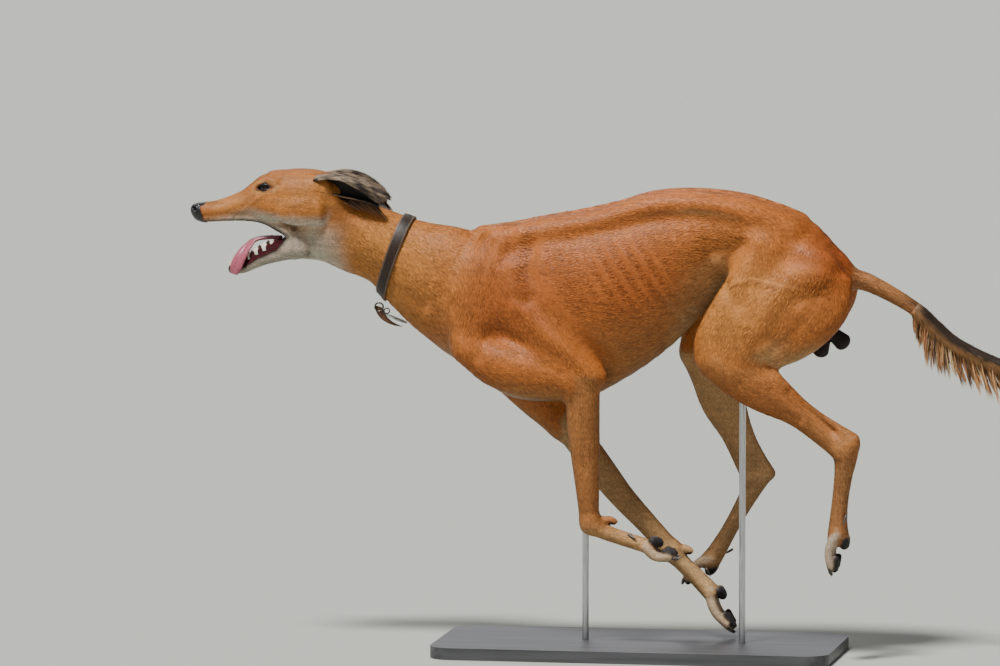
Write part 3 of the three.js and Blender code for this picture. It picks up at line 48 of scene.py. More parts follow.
# ---------------------------------------------------------------- camera, floor and light
# The camera stands a little behind the dog's left side and a little above it, far away,
# as a long lens does. The floor is plain and pale, and the light is broad and soft.
AZIMUTH, ELEVATION = math.radians(10), math.radians(6)
DISTANCE = 18.0
FRAME_WIDTH = 1000 * 5 / 3 * MM
AIM_RIGHT, AIM_UP = -0.2333, 0.5067
SENSOR = 36.0
view_right = Vector((math.cos(AZIMUTH), math.sin(AZIMUTH), 0))
view_back = Vector((math.sin(AZIMUTH) * math.cos(ELEVATION), -math.cos(AZIMUTH) * math.cos(ELEVATION),
    math.sin(ELEVATION)))
view_up = view_back.cross(view_right)
target = view_right * AIM_RIGHT + view_up * AIM_UP + Vector((0, 0, DOG_LIFT * MM))
camera_data = bpy.data.cameras.new("camera")
camera_data.sensor_width = SENSOR
camera_data.lens = SENSOR * DISTANCE / FRAME_WIDTH
camera_data.clip_end = 200
camera = bpy.data.objects.new("camera", camera_data)
place = Matrix((view_right, view_up, view_back)).transposed().to_4x4()
place.translation = target + view_back * DISTANCE
camera.matrix_world = place
bpy.context.collection.objects.link(camera)
bpy.context.scene.camera = camera


def new_object(name, mesh):
    piece = bpy.data.objects.new(name, mesh)
    bpy.context.collection.objects.link(piece)
    return piece


def material(name, rough=0.6, color=None, **sockets):
    m = bpy.data.materials.new(name)
    m.use_nodes = True
    shader = m.node_tree.nodes["Principled BSDF"]
    shader.inputs["Roughness"].default_value = rough
    if color is not None:
        shader.inputs["Base Color"].default_value = (*color, 1)
    for key, value in sockets.items():
        shader.inputs[key.replace("_", " ")].default_value = value
    return m, m.node_tree, shader


def add_node(tree, kind, **values):
    node = tree.nodes.new(kind)
    for key, value in values.items():
        if key in node.inputs:
            node.inputs[key].default_value = value
        else:
            setattr(node, key, value)
    return node


def bump(tree, shader, height, strength, distance):
    node = add_node(tree, "ShaderNodeBump", Strength=strength, Distance=distance)
    tree.links.new(height, node.inputs["Height"])
    tree.links.new(node.outputs["Normal"], shader.inputs["Normal"])
    return node


def object_noise(tree, scale, detail=4.0, stretch=(1, 1, 1)):
    where = add_node(tree, "ShaderNodeTexCoord")
    mapping = add_node(tree, "ShaderNodeMapping")
    mapping.inputs["Scale"].default_value = stretch
    noise = add_node(tree, "ShaderNodeTexNoise", Scale=scale, Detail=detail)
    tree.links.new(where.outputs["Object"], mapping.inputs["Vector"])
    tree.links.new(mapping.outputs["Vector"], noise.inputs["Vector"])
    return noise.outputs["Fac"]


def ramp(tree, fac, stops):
    node = add_node(tree, "ShaderNodeValToRGB")
    while len(node.color_ramp.elements) < len(stops):
        node.color_ramp.elements.new(0.5)
    for element, (at, color) in zip(node.color_ramp.elements, stops):
        element.position = at
        element.color = (*color, 1)
    tree.links.new(fac, node.inputs["Fac"])
    return node.outputs["Color"]


FLOOR_SIZE = 140.0
floor_mesh = bpy.data.meshes.new("floor")
half = FLOOR_SIZE / 2
floor_mesh.from_pydata([(-half, -half, 0), (half, -half, 0), (half, half, 0), (-half, half, 0)], [], [(0,
    1, 2, 3)])
floor = new_object("floor", floor_mesh)
floor_material, tree, shader = material("floor", 0.85, (0.36, 0.37, 0.33))
floor_mesh.materials.append(floor_material)

for name, kind, energy, spread, turn in (
        ("key", "SUN", 6.0, 0.2, (math.radians(26), 0, math.radians(-30))),
        ("rim", "SUN", 0.8, 0.6, (math.radians(-52), 0, math.radians(20)))):
    lamp = bpy.data.lights.new(name, kind)
    lamp.energy = energy
    lamp.angle = spread
    lamp_object = bpy.data.objects.new(name, lamp)
    lamp_object.rotation_euler = turn
    bpy.context.collection.objects.link(lamp_object)
world = bpy.data.worlds.new("studio")
world.use_nodes = True
world.node_tree.nodes["Background"].inputs["Color"].default_value = (0.93, 0.96, 1.0, 1)
world.node_tree.nodes["Background"].inputs["Strength"].default_value = 0.2
bpy.context.scene.world = world


# ---------------------------------------------------------------- the body's forms
# Muscles, bones and pads are soft tubes of elliptic sections that melt into each other, in
# millimetres, in the dog's own measure. Station: x, y, z, half height in the bending plane,
# half width across it. The dog faces -X, and its left side is toward -Y.
FORMS = []
FAR = 60.0
GROUP_BLEND = {"trunk": 0, "near_fore": 18, "far_fore": 18, "near_hind": 20, "far_hind": 20, "jaw": 14,
    "tail": 20}


def smooth_path(stations, steps):
    p = np.array(stations, float)
    ends = np.vstack([2 * p[0] - p[1], p, 2 * p[-1] - p[-2]])
    out = []
    for i in range(1, len(ends) - 2):
        a, b, c, d = ends[i - 1:i + 3]
        for j in range(steps):
            t = j / steps
            out.append(0.5 * (2 * b + (c - a) * t + (2 * a - 5 * b + 4 * c - d) * t * t
                              + (3 * b - a - 3 * c + d) * t ** 3))
    out.append(p[-1])
    out = np.array(out)
    out[:, 3:5] = np.maximum(out[:, 3:5], 0.5)
    return out


class Form:
    def __init__(self, name, group, blend, stations, side):
        self.name, self.group, self.blend = name, group, blend
        self.side = np.array(side, float)
        self.path = smooth_path(stations, 4 if len(stations) > 2 else 3)
        reach = self.path[:, 3:5].max(1) + blend * 1.2
        self.low = (self.path[:, :3] - reach[:, None]).min(0)
        self.high = (self.path[:, :3] + reach[:, None]).max(0)

    def distance(self, points, lie=False):
        best = np.full(len(points), 1e9, np.float32)
        along = np.zeros((len(points), 3), np.float32) if lie else None
        for a, b in zip(self.path[:-1], self.path[1:]):
            axis = b[:3] - a[:3]
            length = np.linalg.norm(axis)
            if length < 1e-6:
                continue
            t_axis = axis / length
            across = self.side - (self.side @ t_axis) * t_axis
            across /= np.linalg.norm(across)
            rise = np.cross(t_axis, across)
            v = points - a[:3].astype(np.float32)
            turned = v @ np.stack([t_axis, across, rise], 1).astype(np.float32)
            t = np.clip(turned[:, 0] / length, 0, 1)
            ra = a[3] + t * (b[3] - a[3])
            rb = a[4] + t * (b[4] - a[4])
            rc = np.minimum(ra, rb)
            p, q, r = turned[:, 1] / rb, turned[:, 2] / ra, (turned[:, 0] - t * length) / rc
            k1 = np.sqrt(p * p + q * q + r * r)
            k2 = np.sqrt((p / rb) ** 2 + (q / ra) ** 2 + (r / rc) ** 2) + 1e-9
            d = (k1 * (k1 - 1) / k2).astype(np.float32)
            if lie:
                along[d < best] = t_axis
            np.minimum(best, d, out=best)
        return (best, along) if lie else best


def tube(name, group, blend, stations, side=(0, 1, 0)):
    FORMS.append(Form(name, group, blend, stations, side))


def pair(name, group, blend, stations):
    tube("left_" + name, group, blend, stations)
    tube("right_" + name, group, blend, [[s[0], -s[1], *s[2:]] for s in stations])


TOE_ACROSS = (-15.5, -5.4, 5.4, 15.5)
TOE_REACH = (0.9, 1, 1, 0.9)
TOE_RADIUS = 8.2
CLAWS = []


def paw(group, origin, forward, dorsal, length, hand):
    o = np.array(origin, float)
    f = np.array(forward, float) / np.linalg.norm(forward)
    d = np.array(dorsal, float) / np.linalg.norm(dorsal)
    w = np.cross(f, d)

    def row(along, up, across, a, b):
        return [*(o + f * along + d * up + w * across), a, b]

    r = TOE_RADIUS
    for i, (across, share) in enumerate(zip(TOE_ACROSS, TOE_REACH)):
        reach = (length - 10) * share
        tube("toe_%d" % i, group, 5, [
            row(-6, 1, across * 0.75, r + 1, r), row(reach * 0.3, 6, across, r + 1, r - 0.4),
            row(reach * 0.62, 4, across * 1.08, r, r - 0.8), row(reach * 0.9, -4, across * 1.1, r - 0.6,
            r - 1.2)], w)
        tube("toe_pad_%d" % i, group, 2.5, [
            row(reach * 0.64, -8.5, across * 1.08, 6.4, 6), row(reach * 0.92, -10, across * 1.1, 6.6,
            5.8)], w)
        CLAWS.append((group, o + f * (reach * 0.9 + 3) - d * 2 + w * across * 1.1, f * 0.84 - d * 0.54, w,
            1.6))
    tube("heel_pad", group, 3, [
        row(2, -12, -9, 9, 9), row(9, -14, 0, 9.5, 11.5), row(2, -12, 9, 9, 9)], f)
    CLAWS.append((group, o - f * 34 - d * 4 + w * hand * 13, f + w * hand * 0.5, d, 1.0))


# trunk
tube("ribcage", "trunk", 20, [
    [-285, 0, 566, 80, 52], [-215, 0, 552, 128, 72], [-140, 0, 554, 146, 84], [-70, 0, 568, 138, 89],
    [0, 0, 604, 122, 86], [60, 0, 642, 98, 78], [120, 0, 664, 80, 70], [180, 0, 662, 76, 66],
    [240, 0, 648, 72, 66], [300, 0, 612, 54, 54]])
pair("back_muscle", "trunk", 16, [
    [-230, -20, 664, 20, 22], [-150, -24, 681, 22, 28], [-60, -26, 698, 22, 30], [20, -30, 722, 24, 32],
    [100, -32, 729, 22, 32], [180, -30, 717, 24, 32], [250, -26, 688, 24, 28]])
tube("spine_ridge", "trunk", 10, [
    [-265, 0, 676, 9, 10], [-200, 0, 686, 9, 9], [-120, 0, 702, 9, 8], [-40, 0, 720, 9, 8],
    [40, 0, 740, 9, 9], [120, 0, 742, 9, 9], [200, 0, 728, 9, 9], [270, 0, 704, 10, 12]])
tube("neck", "trunk", 24, [
    [-530, 0, 694, 50, 38], [-495, 0, 674, 56, 41], [-458, 0, 656, 61, 44], [-417, 0, 638, 65, 47],
    [-375, 0, 613, 80, 54], [-335, 0, 593, 94, 62], [-290, 0, 572, 102, 66]])
tube("breast", "trunk", 26, [
    [-345, 0, 548, 34, 38], [-300, 0, 501, 35, 44], [-255, 0, 460, 33, 44], [-210, 0, 429, 31, 42],
    [-160, 0, 420, 28, 36], [-100, 0, 424, 26, 34], [-50, 0, 452, 22, 34], [0, 0, 496, 20, 38],
    [40, 0, 540, 18, 40]])
pair("scapula", "trunk", 26, [
    [-236, -26, 666, 22, 15], [-250, -46, 620, 34, 17], [-270, -60, 560, 40, 20],
    [-276, -62, 512, 32, 23], [-278, -60, 488, 24, 24]])
tube("near_triceps", "trunk", 22, [
    [-205, -48, 610, 34, 18], [-180, -64, 560, 44, 22], [-135, -74, 505, 40, 26],
    [-92, -76, 464, 26, 22], [-60, -72, 444, 15, 14]])
tube("near_upper_arm", "trunk", 22, [
    [-280, -62, 484, 24, 24], [-235, -72, 462, 38, 29], [-175, -78, 446, 40, 30],
    [-112, -76, 434, 30, 26]])
tube("far_triceps", "trunk", 22, [
    [-215, 48, 600, 34, 18], [-195, 62, 540, 44, 24], [-165, 72, 460, 44, 26], [-130, 72, 390, 30, 22],
    [-108, 66, 352, 16, 16]])
tube("far_upper_arm", "trunk", 22, [
    [-276, 62, 490, 24, 24], [-245, 70, 446, 34, 28], [-205, 72, 402, 32, 26], [-145, 68, 348, 26, 24]])
tube("near_quads", "trunk", 22, [
    [214, -50, 662, 32, 22], [197, -64, 608, 38, 26], [169, -74, 557, 40, 28], [139, -78, 508, 36, 28],
    [131, -78, 484, 29, 26]])
tube("near_biceps", "trunk", 22, [
    [298, -50, 640, 42, 24], [276, -66, 590, 52, 30], [240, -78, 545, 54, 30], [195, -84, 505, 44, 26],
    [160, -84, 470, 30, 22]])
tube("near_ham", "trunk", 18, [
    [330, -42, 602, 32, 22], [328, -52, 565, 32, 26], [304, -62, 531, 31, 28], [275, -70, 502, 25, 24],
    [245, -74, 480, 16, 18]])
tube("far_quads", "trunk", 22, [
    [214, 50, 662, 32, 22], [172, 64, 610, 38, 26], [122, 76, 556, 40, 28], [91, 84, 505, 34, 28],
    [84, 88, 478, 28, 26]])
tube("far_biceps", "trunk", 22, [
    [298, 50, 640, 42, 24], [262, 66, 590, 52, 30], [205, 80, 540, 52, 30], [145, 88, 495, 42, 26],
    [104, 92, 465, 30, 22]])
tube("far_ham", "trunk", 18, [
    [330, 42, 602, 32, 22], [318, 52, 565, 33, 26], [280, 64, 520, 31, 28], [220, 74, 482, 26, 24],
    [165, 84, 450, 22, 18]])
# forelegs
tube("near_forearm", "near_fore", 8, [
    [-84, -74, 436, 29, 24], [-84, -76, 405, 29, 25], [-83, -76, 360, 28, 23], [-80, -74, 310, 25, 20],
    [-77, -72, 260, 21, 18], [-75, -70, 220, 18, 17], [-72, -69, 196, 18, 18]])
tube("near_carpus", "near_fore", 10, [
    [-72, -69, 200, 17, 18], [-54, -68, 186, 14, 17], [-20, -67, 174, 13, 16], [10, -66, 165, 13, 18],
    [26, -66, 160, 12, 20]])
tube("near_carpal_pad", "near_fore", 4, [
    [-58, -66, 202, 9, 10], [-42, -65, 203, 8, 8], [-34, -64, 201, 7, 7]])
tube("far_forearm", "far_fore", 8, [
    [-136, 67, 350, 26, 24], [-112, 66, 318, 26, 24], [-76, 62, 272, 25, 22], [-42, 60, 230, 22, 19],
    [0, 58, 186, 19, 17], [44, 57, 139, 18, 18]])
tube("far_carpus", "far_fore", 10, [
    [44, 57, 139, 18, 18], [60, 57, 121, 15, 17], [88, 57, 94, 15, 17], [110, 57, 72, 16, 21]])
tube("far_carpal_pad", "far_fore", 4, [
    [52, 56, 140, 10, 10], [66, 55, 142, 10, 9], [74, 54, 140, 8, 8]])
# hind legs
tube("near_shank", "near_hind", 10, [
    [139, -80, 472, 31, 26], [184, -82, 445, 37, 28], [227, -82, 421, 35, 26], [275, -80, 389, 23, 20],
    [320, -78, 350, 17, 15], [352, -76, 328, 21, 17]])
tube("near_tendon", "near_hind", 14, [
    [235, -82, 440, 16, 12], [280, -80, 406, 8, 8], [330, -78, 375, 7, 7], [367, -77, 348, 12, 13]])
tube("near_metatarsus", "near_hind", 8, [
    [364, -77, 338, 17, 16], [356, -76, 312, 19, 16], [352, -75, 285, 16, 14], [347, -75, 245, 14.5, 13],
    [344, -75, 210, 16, 16], [344, -75, 186, 19, 20]])
tube("far_shank", "far_hind", 10, [
    [85, 88, 472, 33, 26], [106, 94, 432, 37, 28], [122, 100, 385, 36, 25], [144, 104, 335, 26, 20],
    [160, 107, 288, 20, 16], [172, 109, 262, 20, 17]])
tube("far_tendon", "far_hind", 14, [
    [140, 98, 400, 16, 12], [162, 102, 345, 8, 8], [184, 107, 300, 8, 8], [200, 110, 266, 12, 14]])
tube("far_metatarsus", "far_hind", 8, [
    [184, 109, 258, 18, 16], [170, 111, 236, 17, 16], [152, 114, 204, 14.5, 14], [132, 117, 168, 14, 13],
    [112, 120, 134, 16, 16], [100, 121, 116, 18, 20]])
# head
tube("cranium", "trunk", 14, [
    [-600, 0, 731, 43, 42], [-575, 0, 728, 48, 48], [-550, 0, 728, 46, 47], [-525, 0, 722, 42, 42]])
tube("muzzle", "trunk", 12, [
    [-622, 0, 722, 48, 40], [-640, 0, 720, 36, 33], [-660, 0, 714, 28, 28], [-685, 0, 708, 23, 23],
    [-712, 0, 702, 19.5, 19.5], [-735, 0, 699, 18, 17.5], [-744, 0, 699, 16, 16]])
pair("cheek", "trunk", 12, [
    [-640, -22, 712, 14, 10], [-605, -36, 706, 18, 12], [-570, -42, 704, 22, 14],
    [-540, -42, 706, 20, 12]])
tube("throat", "trunk", 20, [
    [-588, 0, 652, 24, 26], [-570, 0, 654, 31, 30], [-530, 0, 655, 36, 32], [-490, 0, 650, 44, 36]])
# tail
tube("tail_core", "tail", 12, [
    [320, 0, 621, 25, 22], [350, 0, 608, 19, 17], [380, 0, 601, 16, 15], [420, 0, 582, 14, 13],
    [460, 0, 558, 12.5, 12], [490, 0, 532, 12, 12], [520, 0, 506, 11.5, 11], [560, 0, 484, 11, 11],
    [600, 0, 468, 10.5, 10], [650, 0, 455, 9, 9], [700, 0, 448, 8, 8], [750, 0, 447, 6.5, 6.5],
    [800, 0, 453, 4, 4]])
# small things of the trunk
tube("perineum", "trunk", 14, [
    [292, 0, 566, 20, 15], [300, 0, 545, 15, 13], [312, 0, 522, 12, 12]])
tube("left_testis", "trunk", 8, [
    [308, -7, 502, 13, 12], [304, -9, 487, 15, 13]])
tube("right_testis", "trunk", 8, [
    [324, 7, 512, 13, 12], [338, 9, 500, 16, 13]])
tube("sheath", "trunk", 8, [
    [100, 0, 560, 5, 5], [125, 0, 569, 8, 8], [170, 0, 582, 9, 9], [230, 0, 590, 9, 9]])
pair("flank_fold", "trunk", 14, [
    [222, -58, 644, 12, 7], [190, -62, 612, 10, 6], [166, -62, 596, 8, 6]])
pair("lip", "trunk", 5, [
    [-744, -8, 687, 6, 5], [-728, -12, 689, 6, 4.5], [-700, -14.5, 691, 6, 4], [-668, -17.5, 693, 7, 4],
    [-642, -21, 692, 8, 4.5], [-622, -26, 687, 9, 5], [-606, -30, 680, 10, 6], [-592, -33, 674, 10, 7]])
tube("near_ankle", "near_hind", 7, [
    [341, -86, 331, 9, 7], [344, -87, 324, 7, 6]])
tube("far_ankle", "far_hind", 7, [
    [167, 97, 261, 10, 7], [164, 98, 253, 8, 6]])
# lower jaw
pair("jaw_side", "jaw", 8, [
    [-572, -29, 650, 24, 10], [-608, -25, 632, 12.5, 8], [-631, -21, 624, 10, 7.5],
    [-650, -17, 616, 9, 7.5], [-670, -12, 607, 8.5, 7.5], [-691, -6, 605, 8.5, 7]])
tube("jaw_floor", "jaw", 8, [
    [-590, 0, 636, 13, 24], [-620, 0, 625, 7, 20], [-650, 0, 613, 6, 14], [-680, 0, 604, 6, 8]])
pair("gum", "jaw", 4, [
    [-594, -21, 652, 9, 5], [-620, -18, 644, 9, 4.5], [-650, -14, 630, 8, 4], [-674, -10, 617, 7, 4],
    [-688, -4, 611, 6, 4]])
# ear bases
pair("ear_base", "trunk", 10, [
    [-548, -28, 748, 14, 10], [-528, -34, 748, 15, 10]])
pair("brow", "trunk", 8, [
    [-640, -22, 749, 5, 5], [-627, -27, 757, 5, 5], [-612, -31, 755, 5, 5]])
# feet
paw("near_fore", [26, -66, 160], [0.89, 0, -0.46], [-0.46, 0, -0.89], 57, -1)
paw("far_fore", [113, 57, 71], [0.4, 0, -0.917], [-0.917, 0, -0.4], 82, 1)
paw("near_hind", [344, -75, 186], [-0.28, 0, -0.96], [-0.96, 0, 0.28], 70, -1)
paw("far_hind", [100, 121, 116], [-0.84, 0, -0.54], [-0.54, 0, 0.84], 66, 1)
# nose leather
tube("nose_pad", "trunk", 4, [
    [-738, 0, 702, 16, 15.5], [-750, 0, 703, 12, 13], [-753, 0, 705, 9, 10]])
GROUPS = list(GROUP_BLEND)


# ---------------------------------------------------------------- from the forms to a skin
# The skin is the level surface of the blended forms, drawn in by the coat's depth. It is found
# on a fine grid that is filled only near the surface, then each corner is moved onto the surface.
COAT_DEPTH = 1.2
BODY_CELL = 3.0
HEAD_CELL = 1.7


def least(a, b, k):
    if k <= 0:
        return np.minimum(a, b)
    h = np.maximum(k - np.abs(a - b), 0) / k
    return np.minimum(a, b) - h * h * k * 0.25


def most(a, b, k):
    return -least(-a, -b, k)


def blended(points, forms=FORMS):
    out = np.full(len(points), FAR, np.float32)
    for group, blend in GROUP_BLEND.items():
        part = np.full(len(points), FAR, np.float32)
        for form in forms:
            if form.group != group:
                continue
            near = np.nonzero(np.all((points > form.low) & (points < form.high), 1))[0]
            if len(near):
                part[near] = least(part[near], form.distance(points[near]), form.blend)
        out = least(out, part, blend)
    return out


BLOCK = 6


def fill_grid(function, low, high, cell):
    low = np.array(low, float)
    blocks = np.ceil((np.array(high) - low) / cell / BLOCK).astype(int) + 1
    axes = [low[i] + (np.arange(blocks[i]) + 0.5) * BLOCK * cell for i in range(3)]
    centres = np.stack(np.meshgrid(*axes, indexing="ij"), -1).reshape(-1, 3).astype(np.float32)
    coarse = function(centres)
    near = np.abs(coarse) < BLOCK * cell * 1.09 + 2
    grid = np.where(coarse < 0, -FAR, FAR).astype(np.float32).reshape(blocks)
    for axis in range(3):
        grid = np.repeat(grid, BLOCK, axis)
    offsets = np.stack(np.meshgrid(*[np.arange(BLOCK)] * 3, indexing="ij"), -1).reshape(-1, 3)
    picks = np.argwhere(near.reshape(blocks))
    for start in range(0, len(picks), 3000):
        cells = (picks[start:start + 3000, None] * BLOCK + offsets).reshape(-1, 3)
        grid[tuple(cells.T)] = function((low + cells * cell).astype(np.float32))
    return grid, low, cell


def surface_nets(grid, low, cell):
    inside = grid < 0
    shape = np.array(grid.shape) - 1
    corners = [(i, j, k) for i in (0, 1) for j in (0, 1) for k in (0, 1)]
    count = sum(inside[i:shape[0] + i, j:shape[1] + j, k:shape[2] + k].astype(np.int8) for i, j, k in corners)
    active = (count > 0) & (count < 8)
    number = np.full(active.shape, -1, np.int64)
    number[active] = np.arange(active.sum())
    cells = np.argwhere(active)
    total, crossings = np.zeros((len(cells), 3)), np.zeros(len(cells))
    for corner in corners:
        for axis in range(3):
            if corner[axis]:
                continue
            a = cells + corner
            b = a.copy()
            b[:, axis] += 1
            fa, fb = grid[tuple(a.T)].astype(float), grid[tuple(b.T)].astype(float)
            cross = (fa < 0) != (fb < 0)
            step = np.where(cross, fa / np.where(cross, fa - fb, 1), 0)
            p = a.astype(float)
            p[:, axis] += step
            total[cross] += p[cross]
            crossings[cross] += 1
    points = low + total / crossings[:, None] * cell
    quads = []
    for axis in range(3):
        first, second = [slice(None)] * 3, [slice(None)] * 3
        first[axis], second[axis] = slice(0, grid.shape[axis] - 1), slice(1, None)
        a, b = inside[tuple(first)], inside[tuple(second)]
        edges = np.argwhere(a != b)
        others = [i for i in range(3) if i != axis]
        keep = np.all([(edges[:, o] > 0) & (edges[:, o] < grid.shape[o] - 1) for o in others], 0)
        edges = edges[keep]
        out = a[tuple(edges.T)] if axis != 1 else ~a[tuple(edges.T)]
        ring = []
        for d0, d1 in ((0, 0), (1, 0), (1, 1), (0, 1)):
            q = edges.copy()
            q[:, others[0]] -= d0
            q[:, others[1]] -= d1
            ring.append(number[tuple(q.T)])
        ring = np.stack(ring, 1)
        ring[~out] = ring[~out][:, ::-1]
        quads.append(ring)
    return points, np.vstack(quads)


def slope(function, points, reach=0.6):
    out = np.zeros_like(points)
    for corner in ((1, 1, 1), (1, -1, -1), (-1, 1, -1), (-1, -1, 1)):
        c = np.array(corner, float)
        out += function((points + c * reach).astype(np.float32))[:, None] * c
    return out / (4 * reach)


def unit(v):
    return v / np.maximum(np.linalg.norm(v, axis=-1, keepdims=True), 1e-9)


def sample(grid, points):
    values, low, cell = grid
    at = (points - low) / cell
    base = np.clip(np.floor(at).astype(int), 0, np.array(values.shape) - 2)
    f = np.clip(at - base, 0, 1)
    out = np.zeros(len(points))
    for i in (0, 1):
        for j in (0, 1):
            for k in (0, 1):
                weight = (np.abs(1 - i - f[:, 0]) * np.abs(1 - j - f[:, 1]) * np.abs(1 - k - f[:, 2]))
                out += weight * values[base[:, 0] + i, base[:, 1] + j, base[:, 2] + k]
    return out


def relax(values, quads, times, share=0.5):
    """Average over each corner's neighbours along the edges."""
    n = len(values)
    a = np.concatenate([quads[:, i] for i in range(4)] + [quads[:, (i + 1) % 4] for i in range(4)])
    b = np.concatenate([quads[:, (i + 1) % 4] for i in range(4)] + [quads[:, i] for i in range(4)])
    count = np.maximum(np.bincount(a, minlength=n), 1)
    for _ in range(times):
        mean = np.stack([np.bincount(a, values[b, c], n) for c in range(values.shape[1])], 1) / count[:, None]
        values = values + (mean - values) * share
    return values


# The collar's plane parts the head's skin from the body's, under the band.
COLLAR_AT, COLLAR_LEAN = np.array((-413.0, 0, 633.0)), 0.345
COLLAR_AXIS = np.array((math.cos(COLLAR_LEAN), 0, -math.sin(COLLAR_LEAN)))
UNDER_BAND = 5.0
TAIL_END = 478.0

# The mouth's hollow, the eyes' sockets and openings
EYE_AT, EYE_RADIUS = np.array((-627.0, 23.0, 744.0)), 12.0
EYE_GAZE = unit(np.array((-0.5, 0.86, 0.06)))
LID_UPPER, LID_LOWER, LID_HALF = 5.6, 4.6, 12.6
MOUTH = Form("mouth", "hollow", 0, [
    (-757, 0, 673, 6, 8), (-735, 0, 678, 9, 12.5), (-700, 0, 680, 9, 14.5), (-660, 0, 680, 10, 17),
    (-632, 0, 675, 12, 20), (-612, 0, 667, 12, 23), (-594, 0, 662, 8, 24)], (0, 1, 0))
NOSE_CUT, NOSE_AXIS = np.array((-743.0, 0, 700.0)), np.array((0.9403, 0, 0.3401))


def eye_frame(hand):
    gaze = EYE_GAZE * (1, hand, 1)
    across = np.array((gaze[1] * -hand, gaze[0] * hand, -0.12))
    across = unit(across - (across @ gaze) * gaze)
    up = unit(np.cross(gaze, across))
    return EYE_AT * (1, hand, 1), gaze, across, up * (1 if up[2] > 0 else -1)


def eye_opening(points, hand):
    """Less than nought inside the almond that the lids leave open."""
    centre, gaze, across, up = eye_frame(hand)
    v = points - centre
    deep, u, h = v @ gaze, v @ across, v @ up
    wide = np.where(deep < 12, 9.5 + (LID_HALF - 9.5) * (deep - 5) / 7, LID_HALF + (deep - 12) * 0.1)
    tall = np.where(h > 0, LID_UPPER, LID_LOWER) + np.clip(deep - 12, 0, 9) * 0.22
    almond = np.sqrt((u / wide) ** 2 + (h / tall) ** 2 + 1e-9)
    return np.maximum((almond - 1) * tall, 4 - deep)


def head_field(points):
    f = blended(points) + COAT_DEPTH
    f = most(f, -MOUTH.distance(points), 3)
    for hand in (-1, 1):
        centre = EYE_AT * (1, hand, 1)
        ball = np.linalg.norm(points - centre, axis=1) - EYE_RADIUS
        f = np.maximum(f, -(ball + 0.3))
        f = np.maximum(f, -eye_opening(points, hand))
    f = np.maximum(f, -((points - NOSE_CUT) @ NOSE_AXIS))
    return np.maximum(f, (points - COLLAR_AT) @ COLLAR_AXIS - UNDER_BAND).astype(np.float32)


def body_field(points):
    f = blended(points) + COAT_DEPTH
    f = np.maximum(f, -((points - COLLAR_AT) @ COLLAR_AXIS) - UNDER_BAND)
    return np.maximum(f, points[:, 0] - TAIL_END).astype(np.float32)


